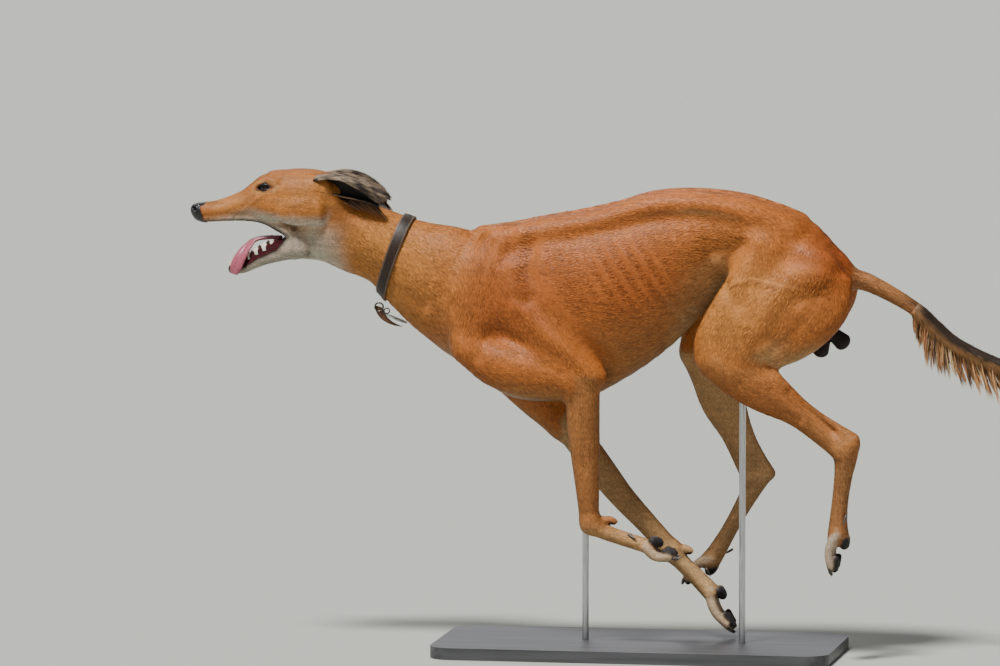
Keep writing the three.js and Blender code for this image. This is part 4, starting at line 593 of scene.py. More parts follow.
# ---------------------------------------------------------------- muscle and bone under the skin
# Shallow grooves and low ridges that the forms are too soft for: ribs, the edges of the muscles,
# sinews and veins. Each line runs in the side view, in millimetres: depth below nought sinks.
LINES = {
    -1: [(-1.2, 11, [(222, 668), (196, 600), (166, 540), (148, 492)]), (3, 12, [(-196, 560), (-126, 500),
    (-62, 446)]),
         (-5, 14, [(-170, 572), (-108, 520), (-48, 468)]), (2, 12, [(-196, 678), (-205, 640), (-203, 590)]),
         (-2.5, 12, [(-175, 660), (-180, 620), (-176, 580)]), (-2, 10, [(-245, 660), (-250, 610), (-262,
         560)]),
         (3, 16, [(312, 618), (262, 621), (237, 583), (208, 531)]), (-5, 18, [(300, 590), (270, 575),
         (250, 540), (235, 515)]),
         (-6, 22, [(125, 655), (150, 658), (178, 668)]), (-4, 12, [(178, 668), (165, 640), (150, 612)]),
         (-3.5, 6, [(262, 430), (300, 395), (335, 362)]), (-1.5, 6, [(180, 440), (230, 412), (280, 380)]),
         (-1.4, 8, [(318, 602), (298, 560), (268, 520), (236, 492)]),
         (-2.4, 12, [(-205, 645), (-168, 602), (-124, 545), (-84, 492)]), (-1.8, 10, [(-300, 566), (-284,
         512), (-262, 476)]),
         (1.6, 9, [(-226, 660), (-246, 610), (-266, 556)]), (-1.6, 8, [(-250, 505), (-205, 488), (-160,
         470), (-120, 450)]),
         (-1.1, 5, [(-82, 412), (-78, 350), (-76, 285)]), (0.7, 2.6, [(-104, 420), (-98, 350), (-88, 280),
         (-80, 225)]),
         (-1.8, 7, [(235, 432), (285, 398), (338, 358)]), (0.7, 2.4, [(170, 470), (226, 436), (276, 398),
         (322, 362)]),
         (0.9, 3, [(150, 600), (200, 612), (250, 600), (300, 602)]), (-1.0, 3.5, [(352, 300), (347, 250),
         (344, 205)]),
         (-2.2, 13, [(120, 640), (150, 610), (176, 575)])],
    1: [(-1.2, 11, [(222, 668), (170, 590), (120, 530), (92, 492)]), (2.5, 12, [(-200, 560), (-150, 505),
    (-120, 450)]),
        (-4, 14, [(-172, 572), (-128, 520), (-98, 468)]), (2, 12, [(-196, 678), (-205, 640), (-203, 590)]),
        (-4, 22, [(125, 655), (150, 658), (178, 668)]), (-1.4, 8, [(318, 602), (282, 545), (215, 500),
        (160, 470)]),
        (-2.4, 12, [(-215, 640), (-178, 585), (-160, 520), (-140, 440)]), (-1.8, 10, [(-300, 566), (-284,
        512), (-262, 476)]),
        (1.6, 9, [(-226, 660), (-246, 610), (-266, 556)]), (-1.1, 5, [(-110, 315), (-70, 262), (-20, 205)]),
        (0.7, 2.6, [(-120, 320), (-84, 270), (-40, 215), (10, 160)]), (-1.8, 7, [(140, 398), (160, 340),
        (182, 290)]),
        (-1.0, 3.5, [(170, 236), (150, 200), (128, 160)]), (-2.2, 13, [(110, 640), (130, 610), (140, 575)])],
    0: [(-2.4, 12, [(-505, 652), (-440, 610), (-360, 556)]), (1.6, 15, [(-500, 690), (-430, 648), (-340,
    596)]),
        (-1.2, 8, [(-612, 700), (-590, 676), (-566, 664)]), (1.2, 6, [(-616, 726), (-586, 719), (-556, 724)]),
        (-1.2, 7, [(-648, 738), (-690, 720), (-722, 712)]), (0.8, 3, [(-640, 728), (-668, 706), (-690, 700)]),
        (-0.9, 4, [(-600, 663), (-584, 668), (-566, 676)])],
}
RIB_SPACING, RIB_LEAN, RIB_DEPTH = 26.0, 0.8, 0.6


def line_distance(x, z, line):
    best = np.full(len(x), 1e9)
    for (ax, az), (bx, bz) in zip(line[:-1], line[1:]):
        dx, dz = bx - ax, bz - az
        t = np.clip(((x - ax) * dx + (z - az) * dz) / (dx * dx + dz * dz), 0, 1)
        best = np.minimum(best, np.hypot(x - ax - t * dx, z - az - t * dz))
    return best


def between(v, low, high, soft):
    return np.clip((v - low) / soft, 0, 1) * np.clip((high - v) / soft, 0, 1)


def relief(points, normals):
    x, y, z = points.T
    side = np.clip(np.abs(normals[:, 1]) * 1.6 - 0.2, 0, 1)
    out = np.zeros(len(points))
    for hand, lines in LINES.items():
        here = side * (1 if hand == 0 else (normals[:, 1] * hand > 0) * (y * hand > 12))
        for depth, width, line in lines:
            out += depth * here * np.exp(-(line_distance(x, z, line) / width) ** 2)
    ribs = between(x, -110, 95, 60) * between(z, 530, 690, 60) * side * (np.abs(y) > 40)
    phase = (x + RIB_LEAN * (z - 600) + 12 * np.sin(z / 70)) / RIB_SPACING
    out += ribs * RIB_DEPTH * (np.cos(phase * 2 * math.pi) - 0.2)
    spine = between(x, -250, 290, 60) * np.exp(-(y / 9) ** 2) * (normals[:, 2] > 0.3)
    out += spine * 0.4 * np.cos(x / 26 * 2 * math.pi)
    return out


# ---------------------------------------------------------------- the coat's colours
# Red fawn: lighter along the top of the back as a painted highlight, deep on shoulder and rump (on the
# shoulder partly painted shade), golden on the neck and the front of the thigh (on the thigh partly a painted
# highlight), sandy on the legs and darker on the far legs as painted shade, pale under the throat and chest
# and on the toes, black at the lips, nose and pads. A painted shadow lies under the ear behind the jaw,
# another in front of the eye, and the mouth's inside is darkened as painted shade. The same markings colour
# the skin and every tuft that grows from it.
# The second colour here is a lighter fawn laid along the top of the back as a painted highlight; the third, a
# deeper red, is partly painted shade on the shoulder and low on the thigh.
FAWN, BACK_HIGHLIGHT, RED = (0.42, 0.13, 0.024), (0.50, 0.148, 0.03), (0.31, 0.060, 0.009)
GOLD, CREAM, WHITE = (0.54, 0.235, 0.055), (0.58, 0.37, 0.17), (0.64, 0.58, 0.46)
SAND, DUN, GREY = (0.37, 0.18, 0.065), (0.25, 0.14, 0.06), (0.24, 0.215, 0.175)
BLACK, PAD, GUM_AND_SHADE, PALATE = (0.016, 0.013, 0.012), (0.022, 0.019, 0.019), (0.065, 0.010, 0.015), (0.20,
    0.05, 0.055)
UPPER_LIP = [(-745, 684), (-725, 684), (-696, 685), (-668, 687), (-640, 684), (-618, 676), (-604, 669),
    (-598, 661)]
LOWER_LIP = [(-600, 657), (-611, 643), (-631, 633), (-645, 627), (-659, 617), (-669, 611), (-692, 606)]

# tint, centre, reach along x, y and z, and strength
PATCHES = [
    # First patch: a painted highlight along the top of the back. Second: dark red on the shoulder, partly
    # painted shade.
    (BACK_HIGHLIGHT, (20, 0, 760), (420, 130, 75), 1.0), (RED, (-240, 0, 575), (100, 200, 90), 0.75),
    (RED, (20, 0, 600), (170, 200, 75), 0.55), (RED, (340, 0, 640), (75, 150, 75), 0.85),
    (GOLD, (-400, 0, 590), (130, 200, 110), 0.55), (GOLD, (-460, 0, 660), (80, 200, 40), 0.5),
    # The gold on the front of the thigh is partly the coat's golden tone and partly a painted highlight.
    (GOLD, (160, 0, 560), (75, 200, 95), 0.75), (GOLD, (250, 0, 590), (75, 200, 45), 0.4),
    # The dark red patch low on the thigh is painted shade.
    (SAND, (330, 0, 340), (70, 200, 60), 0.5), (RED, (230, 0, 420), (90, 200, 45), 0.35),
    # The near-black patch under the ear behind the jaw is a painted shadow cast by the head and ear.
    ((0.16, 0.045, 0.01), (-503, 0, 695), (22, 200, 34), 0.6), (GOLD, (-560, 0, 735), (80, 200, 40), 0.5),
    (GOLD, (-690, 0, 715), (60, 200, 25), 0.5),
]


def mottle(points, size, seed):
    """A soft unevenness of about this size, between -1 and 1."""
    r = np.random.default_rng(seed)
    out = np.zeros(len(points))
    for _ in range(7):
        k = unit(r.normal(size=3)) * 2 * math.pi / size * r.uniform(0.6, 1.5)
        out += np.sin(points @ k + r.uniform(0, 6.3))
    return out / 3.2


def markings(points, normals, form, group):
    """Colour, hair length in millimetres (nought where the skin is bare) for places on the skin."""
    x, y, z = points.T
    ny, nz = normals.T[1:]
    n = len(points)
    colour = np.tile(np.array(FAWN), (n, 1))
    length = np.full(n, 9.0)

    def paint(tint, amount):
        colour[:] = colour + (np.array(tint) - colour) * np.clip(amount, 0, 1)[:, None]

    def is_form(*names):
        return np.isin(form, [i for i, f in enumerate(FORMS) if any(f.name.startswith(k) for k in names)])

    def is_group(*names):
        return np.isin(group, [GROUPS.index(k) for k in names])

    for tint, centre, reach, strength in PATCHES:
        d = ((points - np.array(centre)) / np.array(reach)) ** 2
        paint(tint, strength * np.exp(-d.sum(1) * 0.9))
    trunk = is_group("trunk", "jaw")
    under = np.clip(-nz * 1.6 - 0.2, 0, 1) * trunk
    paint(SAND, 0.75 * under * between(x, -260, 320, 60))
    paint(CREAM, 0.8 * under * between(x, 40, 330, 40))
    chest = np.exp(-((y / 30) ** 2)) * between(x, -350, -150, 40) * between(z, 380, 560, 40) * (nz < 0.3)
    paint(WHITE, 0.85 * chest)
    front = is_group("near_fore", "far_fore")
    hind = is_group("near_hind", "far_hind")
    far = is_group("far_fore", "far_hind")
    paint(SAND, 0.45 * front + 0.25 * hind)
    # The far legs are darkened with dun as painted shade.
    paint(DUN, 0.35 * far)
    inner = np.clip(np.where(y > 0, -ny, ny) * 1.5, 0, 1)
    paint(CREAM, 0.55 * inner * (front | hind))
    paint(DUN, 0.45 * hind * between(z, 120, 330, 40))
    low_fore = is_group("near_fore") * between(z, 100, 205, 25) + is_group("far_fore") * between(z, -20,
        145, 25)
    paint(CREAM, 0.55 * low_fore)
    paint(WHITE, 0.55 * is_form("toe_") * is_group("near_hind") + 0.35 * is_form("toe_")
        * ~is_group("near_hind"))
    # head
    head = between(x, -800, -470, 40) * trunk
    throat = np.clip((-nz - 0.05) * 1.6, 0, 1) * between(x, -800, -350, 60) * trunk
    paint(WHITE, 0.85 * throat * between(x, -700, -480, 50))
    paint(GOLD, 0.5 * throat * between(x, -500, -380, 40))
    lip_rise = np.interp(x, [-750, -700, -650, -610, -580, -540], [8, 12, 15, 26, 38, 26])
    lip_z = np.interp(x, [p[0] for p in UPPER_LIP], [p[1] for p in UPPER_LIP])
    cheek = head * np.clip(1.25 - (z - lip_z) / lip_rise, 0, 1) * between(x, -760, -480, 70)
    paint(WHITE, 0.72 * cheek)
    paint(GREY, 0.55 * is_group("jaw") * (z < 640))
    paint(GREY, 0.45 * head * between(x, -640, -500, 50) * np.clip(1 - np.abs(z - 655) / 22, 0, 1))
    specks = np.clip(mottle(points, 5.5, 3) - 0.55, 0, 1) * 3 * between(x, -748, -668,
        14) * np.clip(1.4 - (z - lip_z) / 15, 0, 1)
    paint(BLACK, 0.8 * specks * head)
    # A darker brown patch in front of and below the eye is painted shade under the cheekbone.
    paint((0.30, 0.13, 0.05), 0.4 * head * np.exp(-(((x + 655) / 22) ** 2 + ((z - 727) / 9) ** 2)))
    lips = np.minimum(line_distance(x, z, UPPER_LIP), line_distance(x, z, LOWER_LIP))
    dark = np.clip(1.5 - lips / np.interp(x, [-740, -690, -600], [2.6, 3.6, 6.2]), 0, 1) * trunk * (x < -590)
    paint(BLACK, dark)
    for hand in (-1, 1):
        centre, gaze, across, up = eye_frame(hand)
        v = points - centre
        u, h = v @ across, v @ up
        almond = np.sqrt((u / LID_HALF) ** 2 + (h / np.where(h > 0, LID_UPPER, LID_LOWER)) ** 2)
        close = (v @ gaze > 3) & (np.linalg.norm(v, axis=1) < 30)
        paint(BLACK, np.clip(2.4 - almond * 1.5, 0, 1) * close)
        paint(CREAM, 0.35 * np.exp(-((almond - 1.9) / 0.35) ** 2) * close)
        length[close & (almond < 1.18)] = 0
        length[close & (almond < 1.8)] *= 0.55
    inside = (MOUTH.distance(points.astype(np.float32)) < 1.0) & (x < -588)
    lip_low = np.interp(x, [p[0] for p in LOWER_LIP[::-1]], [p[1] for p in LOWER_LIP[::-1]])
    gum = (is_form("gum") | (is_group("jaw") & (z > lip_low - 1))) & (x < -596)
    paint(PALATE, inside * 1.0)
    # The mouth's walls, gum and floor take a near-black gum red: the gum's own dark colour, deepened as
    # painted shade inside the mouth.
    paint(GUM_AND_SHADE, (inside & (np.abs(y) > 8)) * 0.7)
    paint(GUM_AND_SHADE, gum * 1.0)
    mouth_floor = is_group("jaw") & (nz > 0.2) & (np.abs(y) < 16) & (x < -596)
    paint(GUM_AND_SHADE, mouth_floor * 1.0)
    # bare parts
    pads = is_form("heel_pad", "toe_pad")
    carpal = is_form("near_carpal_pad", "far_carpal_pad")
    paint(PAD, (pads | (carpal & (nz < -0.2))) * 1.0)
    testis = is_form("left_testis", "right_testis")
    paint((0.02, 0.014, 0.012), testis * 1.0)
    nose = is_form("nose_pad")
    paint(BLACK, nose * 1.0)
    dock = is_group("tail")
    paint((0.34, 0.16, 0.06), dock * 0.7)
    paint(BLACK, dock * np.clip((x - 425) / 45, 0, 1) * np.clip(nz * 1.6 + 0.5, 0, 1) * 0.9)
    colour *= (1 + 0.055 * mottle(points, 62, 1) + 0.05 * mottle(points, 17, 2))[:, None]
    # hair length
    length[head > 0.3] = 5.0
    length[(head > 0.5) & (x < -620)] = 3.4
    length[is_group("near_fore", "far_fore", "near_hind", "far_hind")] = 6.5
    length[is_form("toe_")] = 4.2
    length[(trunk & (x > -470) & (x < -330))] = 10.5
    length[(trunk & (nz < -0.3) & (x > -300))] = 9.5
    length[dock] = 11.0
    wet = (nose | inside | gum | mouth_floor | (dark > 0.75)) * 1.0
    bare = pads | (carpal & (nz < -0.2)) | testis | nose | inside | gum | mouth_floor | (dark > 0.75)
    length[bare] = 0
    return np.clip(colour, 0.004, 0.9), length, wet


def describe(points, normals):
    """Nearest form, nearest group and the lie of the coat at places on the skin."""
    points = points.astype(np.float32)
    n = len(points)
    best, form = np.full(n, 1e9), np.zeros(n, int)
    lie = np.zeros((n, 3))
    for i, f in enumerate(FORMS):
        near = np.nonzero(np.all((points > f.low) & (points < f.high), 1))[0]
        if not len(near):
            continue
        d, along = f.distance(points[near], lie=True)
        turn = -1 if f.name.startswith(("muzzle", "left_jaw", "right_jaw", "jaw", "left_gum", "right_gum",
            "nose")) else 1
        if f.name.startswith(("heel", "toe_pad")):
            turn = 0
        lie[near] += turn * along * np.exp(-np.maximum(d + 2, 0) / 6)[:, None]
        closer = d < best[near]
        best[near[closer]] = d[closer]
        form[near[closer]] = i
    group = np.array([GROUPS.index(f.group) for f in FORMS])[form]
    trunk = group == GROUPS.index("trunk")
    lie = unit(lie)
    lie[:, 2] -= 0.38 * trunk * (points[:, 0] > -480)
    lie -= (lie * normals).sum(1)[:, None] * normals
    return form, group, unit(lie)


def make_mesh(name, points, faces, smooth=True):
    mesh = bpy.data.meshes.new(name)
    faces = np.asarray(faces)
    count, sides = faces.shape
    mesh.vertices.add(len(points))
    mesh.vertices.foreach_set("co", ((np.asarray(points) + (0, 0, DOG_LIFT)) * MM).astype(np.float32).ravel())
    mesh.loops.add(count * sides)
    mesh.loops.foreach_set("vertex_index", faces.astype(np.int32).ravel())
    mesh.polygons.add(count)
    mesh.polygons.foreach_set("loop_start", np.arange(0, count * sides, sides, dtype=np.int32))
    mesh.update(calc_edges=True)
    mesh.polygons.foreach_set("use_smooth", np.full(count, smooth))
    return mesh


def set_tone(mesh, colour, wet):
    tone = mesh.attributes.new("tone", "FLOAT_COLOR", "POINT")
    tone.data.foreach_set("color", np.hstack([colour, np.reshape(wet, (-1, 1))]).astype(np.float32).ravel())


def make_skin(name, function, low, high, cell, smoothing):
    grid = fill_grid(function, low, high, cell)
    points, quads = surface_nets(*grid)
    points = relax(points, quads, 1, 0.4)
    for _ in range(2):
        normal = slope(function, points)
        size = np.linalg.norm(normal, axis=1)
        miss = function(points.astype(np.float32)) / np.maximum(size, 0.3)
        points -= np.clip(miss, -0.5 * cell, 0.5 * cell)[:, None] * unit(normal)
    normals = unit(relax(unit(slope(function, points, 1.0)), quads, smoothing))
    form, group, lie = describe(points, normals)
    lie = relax(lie, quads, 6)
    lie = unit(lie - (lie * normals).sum(1)[:, None] * normals)
    sunk = relief(points, normals)
    colour, length, wet = markings(points, normals, form, group)
    length = relax(length[:, None], quads, 2)[:, 0] * (length > 0)
    colour = relax(colour, quads, 2)
    points = points + sunk[:, None] * normals
    return dict(name=name, points=points, quads=quads, normals=normals, lie=lie, group=group, grid=grid,
                sunk=sunk, colour=colour, length=length, wet=wet)


body = make_skin("body_skin", body_field, (-452, -142, -32), (492, 172, 776), BODY_CELL, 2)
head = make_skin("head_skin", head_field, (-775, -84, 556), (-372, 84, 792), HEAD_CELL, 1)


# ---------------------------------------------------------------- one skin
# Hide and flesh in one, parted only under the collar's band. Its colours are the coat's own
# markings, and a fine streaked bump stands for the short hairs that no tuft is spent on.
class Unwrap:
    """The skin laid flat: each limb's six faces side by side in one square."""

    PLANES = np.array([(1, 2), (0, 2), (0, 1)])

    def __init__(self, points, quads, normals, group):
        self.chart = self.pick(unit(normals[quads].mean(1)), group[quads[:, 0]])
        flat = self.flat(points[quads], self.chart)
        self.low, self.place = {}, {}
        sizes = {}
        for c in np.unique(self.chart):
            part = flat[self.chart == c].reshape(-1, 2)
            self.low[c] = part.min(0)
            sizes[c] = part.max(0) - self.low[c] + 6
        width = math.sqrt(sum(s[0] * s[1] for s in sizes.values())) * 1.25
        x = y = shelf = 0.0
        for c in sorted(sizes, key=lambda c: -sizes[c][1]):
            if x + sizes[c][0] > width and x > 0:
                x, y, shelf = 0.0, y + shelf, 0.0
            self.place[c] = np.array((x, y))
            x += sizes[c][0]
            width = max(width, x)
            shelf = max(shelf, sizes[c][1])
        self.scale = 0.98 / max(width, y + shelf)

    def pick(self, normals, group):
        axis = np.abs(normals).argmax(1)
        positive = normals[np.arange(len(normals)), axis] > 0
        return group * 6 + axis * 2 + positive

    def flat(self, points, chart):
        plane = self.PLANES[(chart % 6) // 2]
        if points.ndim == 3:
            return np.stack([np.take_along_axis(points, np.repeat(plane[:, k, None, None],
                points.shape[1], 1), 2)[..., 0]
                             for k in (0, 1)], -1)
        return np.take_along_axis(points, plane, 1)

    def uv(self, points, chart):
        known = np.array(sorted(self.place))
        slot_of = np.searchsorted(known, chart).clip(0, len(known) - 1)
        chart = known[slot_of]
        low = np.array([self.low[c] for c in known])[slot_of]
        place = np.array([self.place[c] for c in known])[slot_of]
        flat = self.flat(points, chart)
        if points.ndim == 3:
            low, place = low[:, None], place[:, None]
        return (flat - low + place + 3) * self.scale + 0.01


def set_uv(mesh, uv):
    layer = mesh.uv_layers.new(name="OFBake")
    layer.uv.foreach_set("vector", np.asarray(uv, np.float32).ravel())


def set_normals(mesh, normals):
    layer = mesh.attributes.new("custom_normal", "FLOAT_VECTOR", "POINT")
    layer.data.foreach_set("vector", normals.astype(np.float32).ravel())


def slimmed(points, quads, limit):
    """Fewer faces, taken from where the skin is flattest. Gives triangles and the nearest old corner."""
    mesh = make_mesh("full", points, quads)
    piece = new_object("full", mesh)
    cut = piece.modifiers.new("slim", "DECIMATE")
    cut.ratio = limit / (len(quads) * 2)
    small = bpy.data.meshes.new_from_object(piece.evaluated_get(bpy.context.evaluated_depsgraph_get()))
    bpy.data.objects.remove(piece)
    where = np.zeros(len(small.vertices) * 3, np.float32)
    small.vertices.foreach_get("co", where)
    where = where.reshape(-1, 3) / MM - (0, 0, DOG_LIFT)
    small.calc_loop_triangles()
    faces = np.zeros(len(small.loop_triangles) * 3, np.int32)
    small.loop_triangles.foreach_get("vertices", faces)
    tree = kdtree.KDTree(len(points))
    for i, p in enumerate(points.tolist()):
        tree.insert(p, i)
    tree.balance()
    return where, faces.reshape(-1, 3), np.array([tree.find(p)[1] for p in where.tolist()])


SKIN_LIMIT = 192000
skin_material, tree, shader = material("skin", 0.6, Specular_IOR_Level=0.25)
tone = add_node(tree, "ShaderNodeAttribute", attribute_name="tone")
streak = object_noise(tree, 420, 3, (0.35, 1, 1))
shade = add_node(tree, "ShaderNodeMix", data_type="RGBA", blend_type="MULTIPLY")
shade.inputs["Factor"].default_value = 0.8
tree.links.new(tone.outputs["Color"], shade.inputs["A"])
tree.links.new(ramp(tree, streak, [(0.3, (0.55, 0.5, 0.45)), (0.7, (1.15, 1.12, 1.1))]), shade.inputs["B"])
tree.links.new(shade.outputs["Result"], shader.inputs["Base Color"])
wet = add_node(tree, "ShaderNodeMapRange")
wet.inputs["To Min"].default_value = 0.62
wet.inputs["To Max"].default_value = 0.24
tree.links.new(tone.outputs["Alpha"], wet.inputs["Value"])
tree.links.new(wet.outputs["Result"], shader.inputs["Roughness"])
bump(tree, shader, streak, 0.35, 0.0006)

FLESH = {
    "body_skin": ["torso", "left_forearm", "right_forearm", "left_forepaw", "right_forepaw", "left_thigh",
                  "right_thigh", "left_shank", "right_shank", "left_hindpaw", "right_hindpaw", "scrotum",
                  "tail_root"],
    "head_skin": ["head", "lower_jaw", "neck"],
}
for skin in (body, head):
    skin["unwrap"] = Unwrap(skin["points"], skin["quads"], skin["normals"], skin["group"])
    points, faces, index = skin["points"], skin["quads"], np.arange(len(skin["points"]))
    if len(faces) * 2 > SKIN_LIMIT:
        points, faces, index = slimmed(points, faces, SKIN_LIMIT)
    mesh = make_mesh(skin["name"], points, faces)
    wet_skin = skin["wet"][index]
    set_tone(mesh, skin["colour"][index], wet_skin)
    face_normal = unit(skin["normals"][index[faces]].mean(1))
    chart = skin["unwrap"].pick(face_normal, skin["group"][index[faces[:, 0]]])
    set_uv(mesh, skin["unwrap"].uv(points[faces], chart))
    mesh.materials.append(skin_material)
    piece = new_object(skin["name"], mesh)
    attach(piece, "root")
    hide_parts(*FLESH[skin["name"]])


# ---------------------------------------------------------------- the coat
# Short hair in small flat tufts, each a thin blade rooted in the skin and combed along the body,
# down the limbs and back over the head. Each tuft takes its colour from the skin at its root.
COVER = 1.75
PIECE_TUFTS = 64000
TUFT_OVERLAP = 0.6        # share of its length by which a tuft reaches past the next root
ROOT_DEPTH = 0.45         # a root stands this far inside the skin, in millimetres
MAX_LIFT = 2.6            # a tuft is never moved further than this to follow the skin
ON_SKIN = 2.0             # a tuft whose tip ends further off than this is left out
coat_material, tree, shader = material("coat", 0.5, Specular_IOR_Level=0.28)
tone = add_node(tree, "ShaderNodeAttribute", attribute_name="tone")
tree.links.new(tone.outputs["Color"], shader.inputs["Base Color"])
bump(tree, shader, object_noise(tree, 900, 2), 0.15, 0.0004)
PATCH = 0.003


def strands(rows, sides, tip):
    """Joins rows of left and right corners and a last tip into blades. rows: (n, k, 3) middles."""
    n, k = rows.shape[:2]
    points = np.concatenate([np.stack([rows - sides, rows + sides], 2).reshape(n, 2 * k, 3), tip[:, None]], 1)
    faces = []
    for i in range(k - 1):
        a = 2 * i
        faces += [(a, a + 3, a + 1), (a, a + 2, a + 3)]
    faces.append((2 * k - 2, 2 * k, 2 * k - 1))
    faces = np.array(faces)[None] + (np.arange(n) * (2 * k + 1))[:, None, None]
    return points, faces.reshape(-1, 3)


def strand_mesh(name, points, faces, normals, colour, uv, material_used):
    """points, normals and colour: (n strands, corners, 3); uv: (n strands, corners, 2)."""
    mesh = make_mesh(name, points.reshape(-1, 3), faces)
    set_tone(mesh, colour.reshape(-1, 3), np.zeros(points.shape[0] * points.shape[1]))
    set_uv(mesh, uv.reshape(-1, 2)[faces.ravel()])
    set_normals(mesh, unit(normals.reshape(-1, 3)))
    mesh.materials.append(material_used)
    return new_object(name, mesh)


def plant(skin, prefix):
    quads, points = skin["quads"], skin["points"]
    corner = points[quads]
    area = 0.5 * np.linalg.norm(np.cross(corner[:, 2] - corner[:, 0], corner[:, 3] - corner[:, 1]), axis=1)
    length = skin["length"][quads].mean(1)
    haired = (skin["length"][quads] > 0.5).all(1)
    width = 0.36 + 0.125 * length
    density = np.where(haired, COVER / (TUFT_OVERLAP * np.maximum(length, 2) * width), 0)
    expected = area * density
    count = np.floor(expected + rng.random(len(expected))).astype(int)
    face = np.repeat(np.arange(len(quads)), count)
    n = len(face)
    u, v = rng.random(n)[:, None], rng.random(n)[:, None]

    def at(values):
        c = values[quads[face]]
        return (c[:, 0] * (1 - u) + c[:, 1] * u) * (1 - v) + (c[:, 3] * (1 - u) + c[:, 2] * u) * v

    root, normal = at(points), unit(at(skin["normals"]))
    lie = at(skin["lie"])
    sunk = at(skin["sunk"][:, None])[:, 0]
    tint = at(skin["colour"])
    lie = unit(lie - (lie * normal).sum(1)[:, None] * normal)
    across = np.cross(normal, lie)
    swing = rng.normal(0, 0.14, n)[:, None] + 0.16 * mottle(root, 34, 9)[:, None]
    lie = unit(lie * np.cos(swing) + across * np.sin(swing))
    across = np.cross(normal, lie)
    long = length[face] * rng.uniform(0.75, 1.25, n)
    wide = width[face] * rng.uniform(0.75, 1.2, n)
    stand = rng.uniform(0.15, 1.0, n) * (0.25 + 0.055 * long)
    middle = root + lie * (long * 0.5)[:, None]
    tip = root + lie * long[:, None]
    for spot, lift in ((middle, stand * 0.75), (tip, stand)):
        height = sample(skin["grid"], spot)
        spot += normal * np.clip(sunk + lift - height, -MAX_LIFT, MAX_LIFT)[:, None]
    on_skin = np.abs(sample(skin["grid"], tip) - sunk - stand) < ON_SKIN
    keep = on_skin & (np.linalg.norm(lie, axis=1) > 0.5)
    root = root - normal * ROOT_DEPTH
    rows = np.stack([root, middle], 1)
    half = np.stack([across * (wide * 0.36)[:, None], across * (wide * 0.5)[:, None]], 1)
    made, _ = strands(rows, half, tip)
    lean = np.array((-1, 1, -1, 1, 0.0))[None, :, None] * across[:, None] * 0.3
    tipped = np.array((0, 0, 0.08, 0.08, 0.2))[None, :, None] * lie[:, None]
    turned = normal[:, None] + lean + tipped + rng.normal(0, 0.07, (n, 1, 3))
    # Each tuft is darker at its root as painted shade among the hairs, lighter toward its tip, and varies at
    # random.
    shade = np.array((0.80, 0.80, 1.0, 1.0, 1.12))[None, :, None] * (1 + 0.19 * rng.normal(size=(n, 1, 1)))
    ripple = mottle(root * (0.13, 0.4, 1), 8, 21)
    shade = shade * (1 - 0.2 * np.clip(ripple, 0, 1))[:, None, None]
    colour = np.clip(tint[:, None] * shade, 0.003, 0.95)
    base_uv = skin["unwrap"].uv(root, skin["unwrap"].chart[face])
    offset = np.array(((-0.5, 0), (0.5, 0), (-0.5, 0.5), (0.5, 0.5), (0, 1))) * PATCH
    uv = base_uv[:, None] + offset[None]
    order = np.nonzero(keep)[0]
    order = order[np.argsort(root[order, 0])]
    parts = max(1, math.ceil(len(order) / PIECE_TUFTS))
    for i, pick in enumerate(np.array_split(order, parts)):
        _, faces = strands(rows[pick], half[pick], tip[pick])
        piece = strand_mesh("%s_%d" % (prefix, i + 1), made[pick], faces, turned[pick], colour[pick],
            uv[pick], coat_material)
        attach(piece, "root")
    return len(order)


tufts = plant(body, "body_coat") + plant(head, "head_coat")
print("tufts", tufts)


# ---------------------------------------------------------------- nose
# The wet leather at the muzzle's end, a piece of its own over the skin: pebbled, with a comma
# of nostril on each side and a groove between them down to the lip.
NOSE_CELL = 0.85
NOSTRILS = [Form("nostril", "hollow", 0, s, (0, 0, 1)) for hand in (-1, 1) for s in (
    [(-760, 5 * hand, 707, 2.6, 2.2), (-752, 9 * hand, 706, 3.2, 2.6), (-746, 12 * hand, 704, 1.6, 1.6)],
    [(-754, 11.5 * hand, 704, 1.6, 1.2), (-748, 16 * hand, 701, 1.1, 0.9), (-741, 18 * hand, 698, 0.8, 0.8)])]
PHILTRUM = Form("philtrum", "hollow", 0, [(-766, 0, 708, 1.1, 0.8), (-762, 0, 698, 1.2, 0.8), (-754, 0,
    687, 1.2, 0.8)], (0, 1, 0))
NOSE_FORMS = [f for f in FORMS if f.name in ("nose_pad", "muzzle")]


def nose_field(points):
    f = blended(points, NOSE_FORMS) + 0.5
    for hollow in NOSTRILS + [PHILTRUM]:
        f = most(f, -hollow.distance(points), 1.2)
    return np.maximum(f, (points - NOSE_CUT) @ NOSE_AXIS - 2.5).astype(np.float32)


points, quads = surface_nets(*fill_grid(nose_field, (-776, -26, 668), (-728, 26, 728), NOSE_CELL))
mesh = make_mesh("nose_leather", relax(points, quads, 2, 0.5), quads)
nose_material, tree, shader = material("nose_leather", 0.3, (0.012, 0.011, 0.012), Specular_IOR_Level=0.55)
cells = add_node(tree, "ShaderNodeTexVoronoi", Scale=620.0)
where = add_node(tree, "ShaderNodeTexCoord")
tree.links.new(where.outputs["Object"], cells.inputs["Vector"])
bump(tree, shader, cells.outputs["Distance"], 0.55, 0.0006)
tree.links.new(ramp(tree, cells.outputs["Distance"], [(0.1, (0.02, 0.018, 0.019)), (0.6, (0.006, 0.005,
    0.006))]),
               shader.inputs["Base Color"])
mesh.materials.append(nose_material)
nose = new_object("nose_leather", mesh)
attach(nose, "root")
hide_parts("nose")


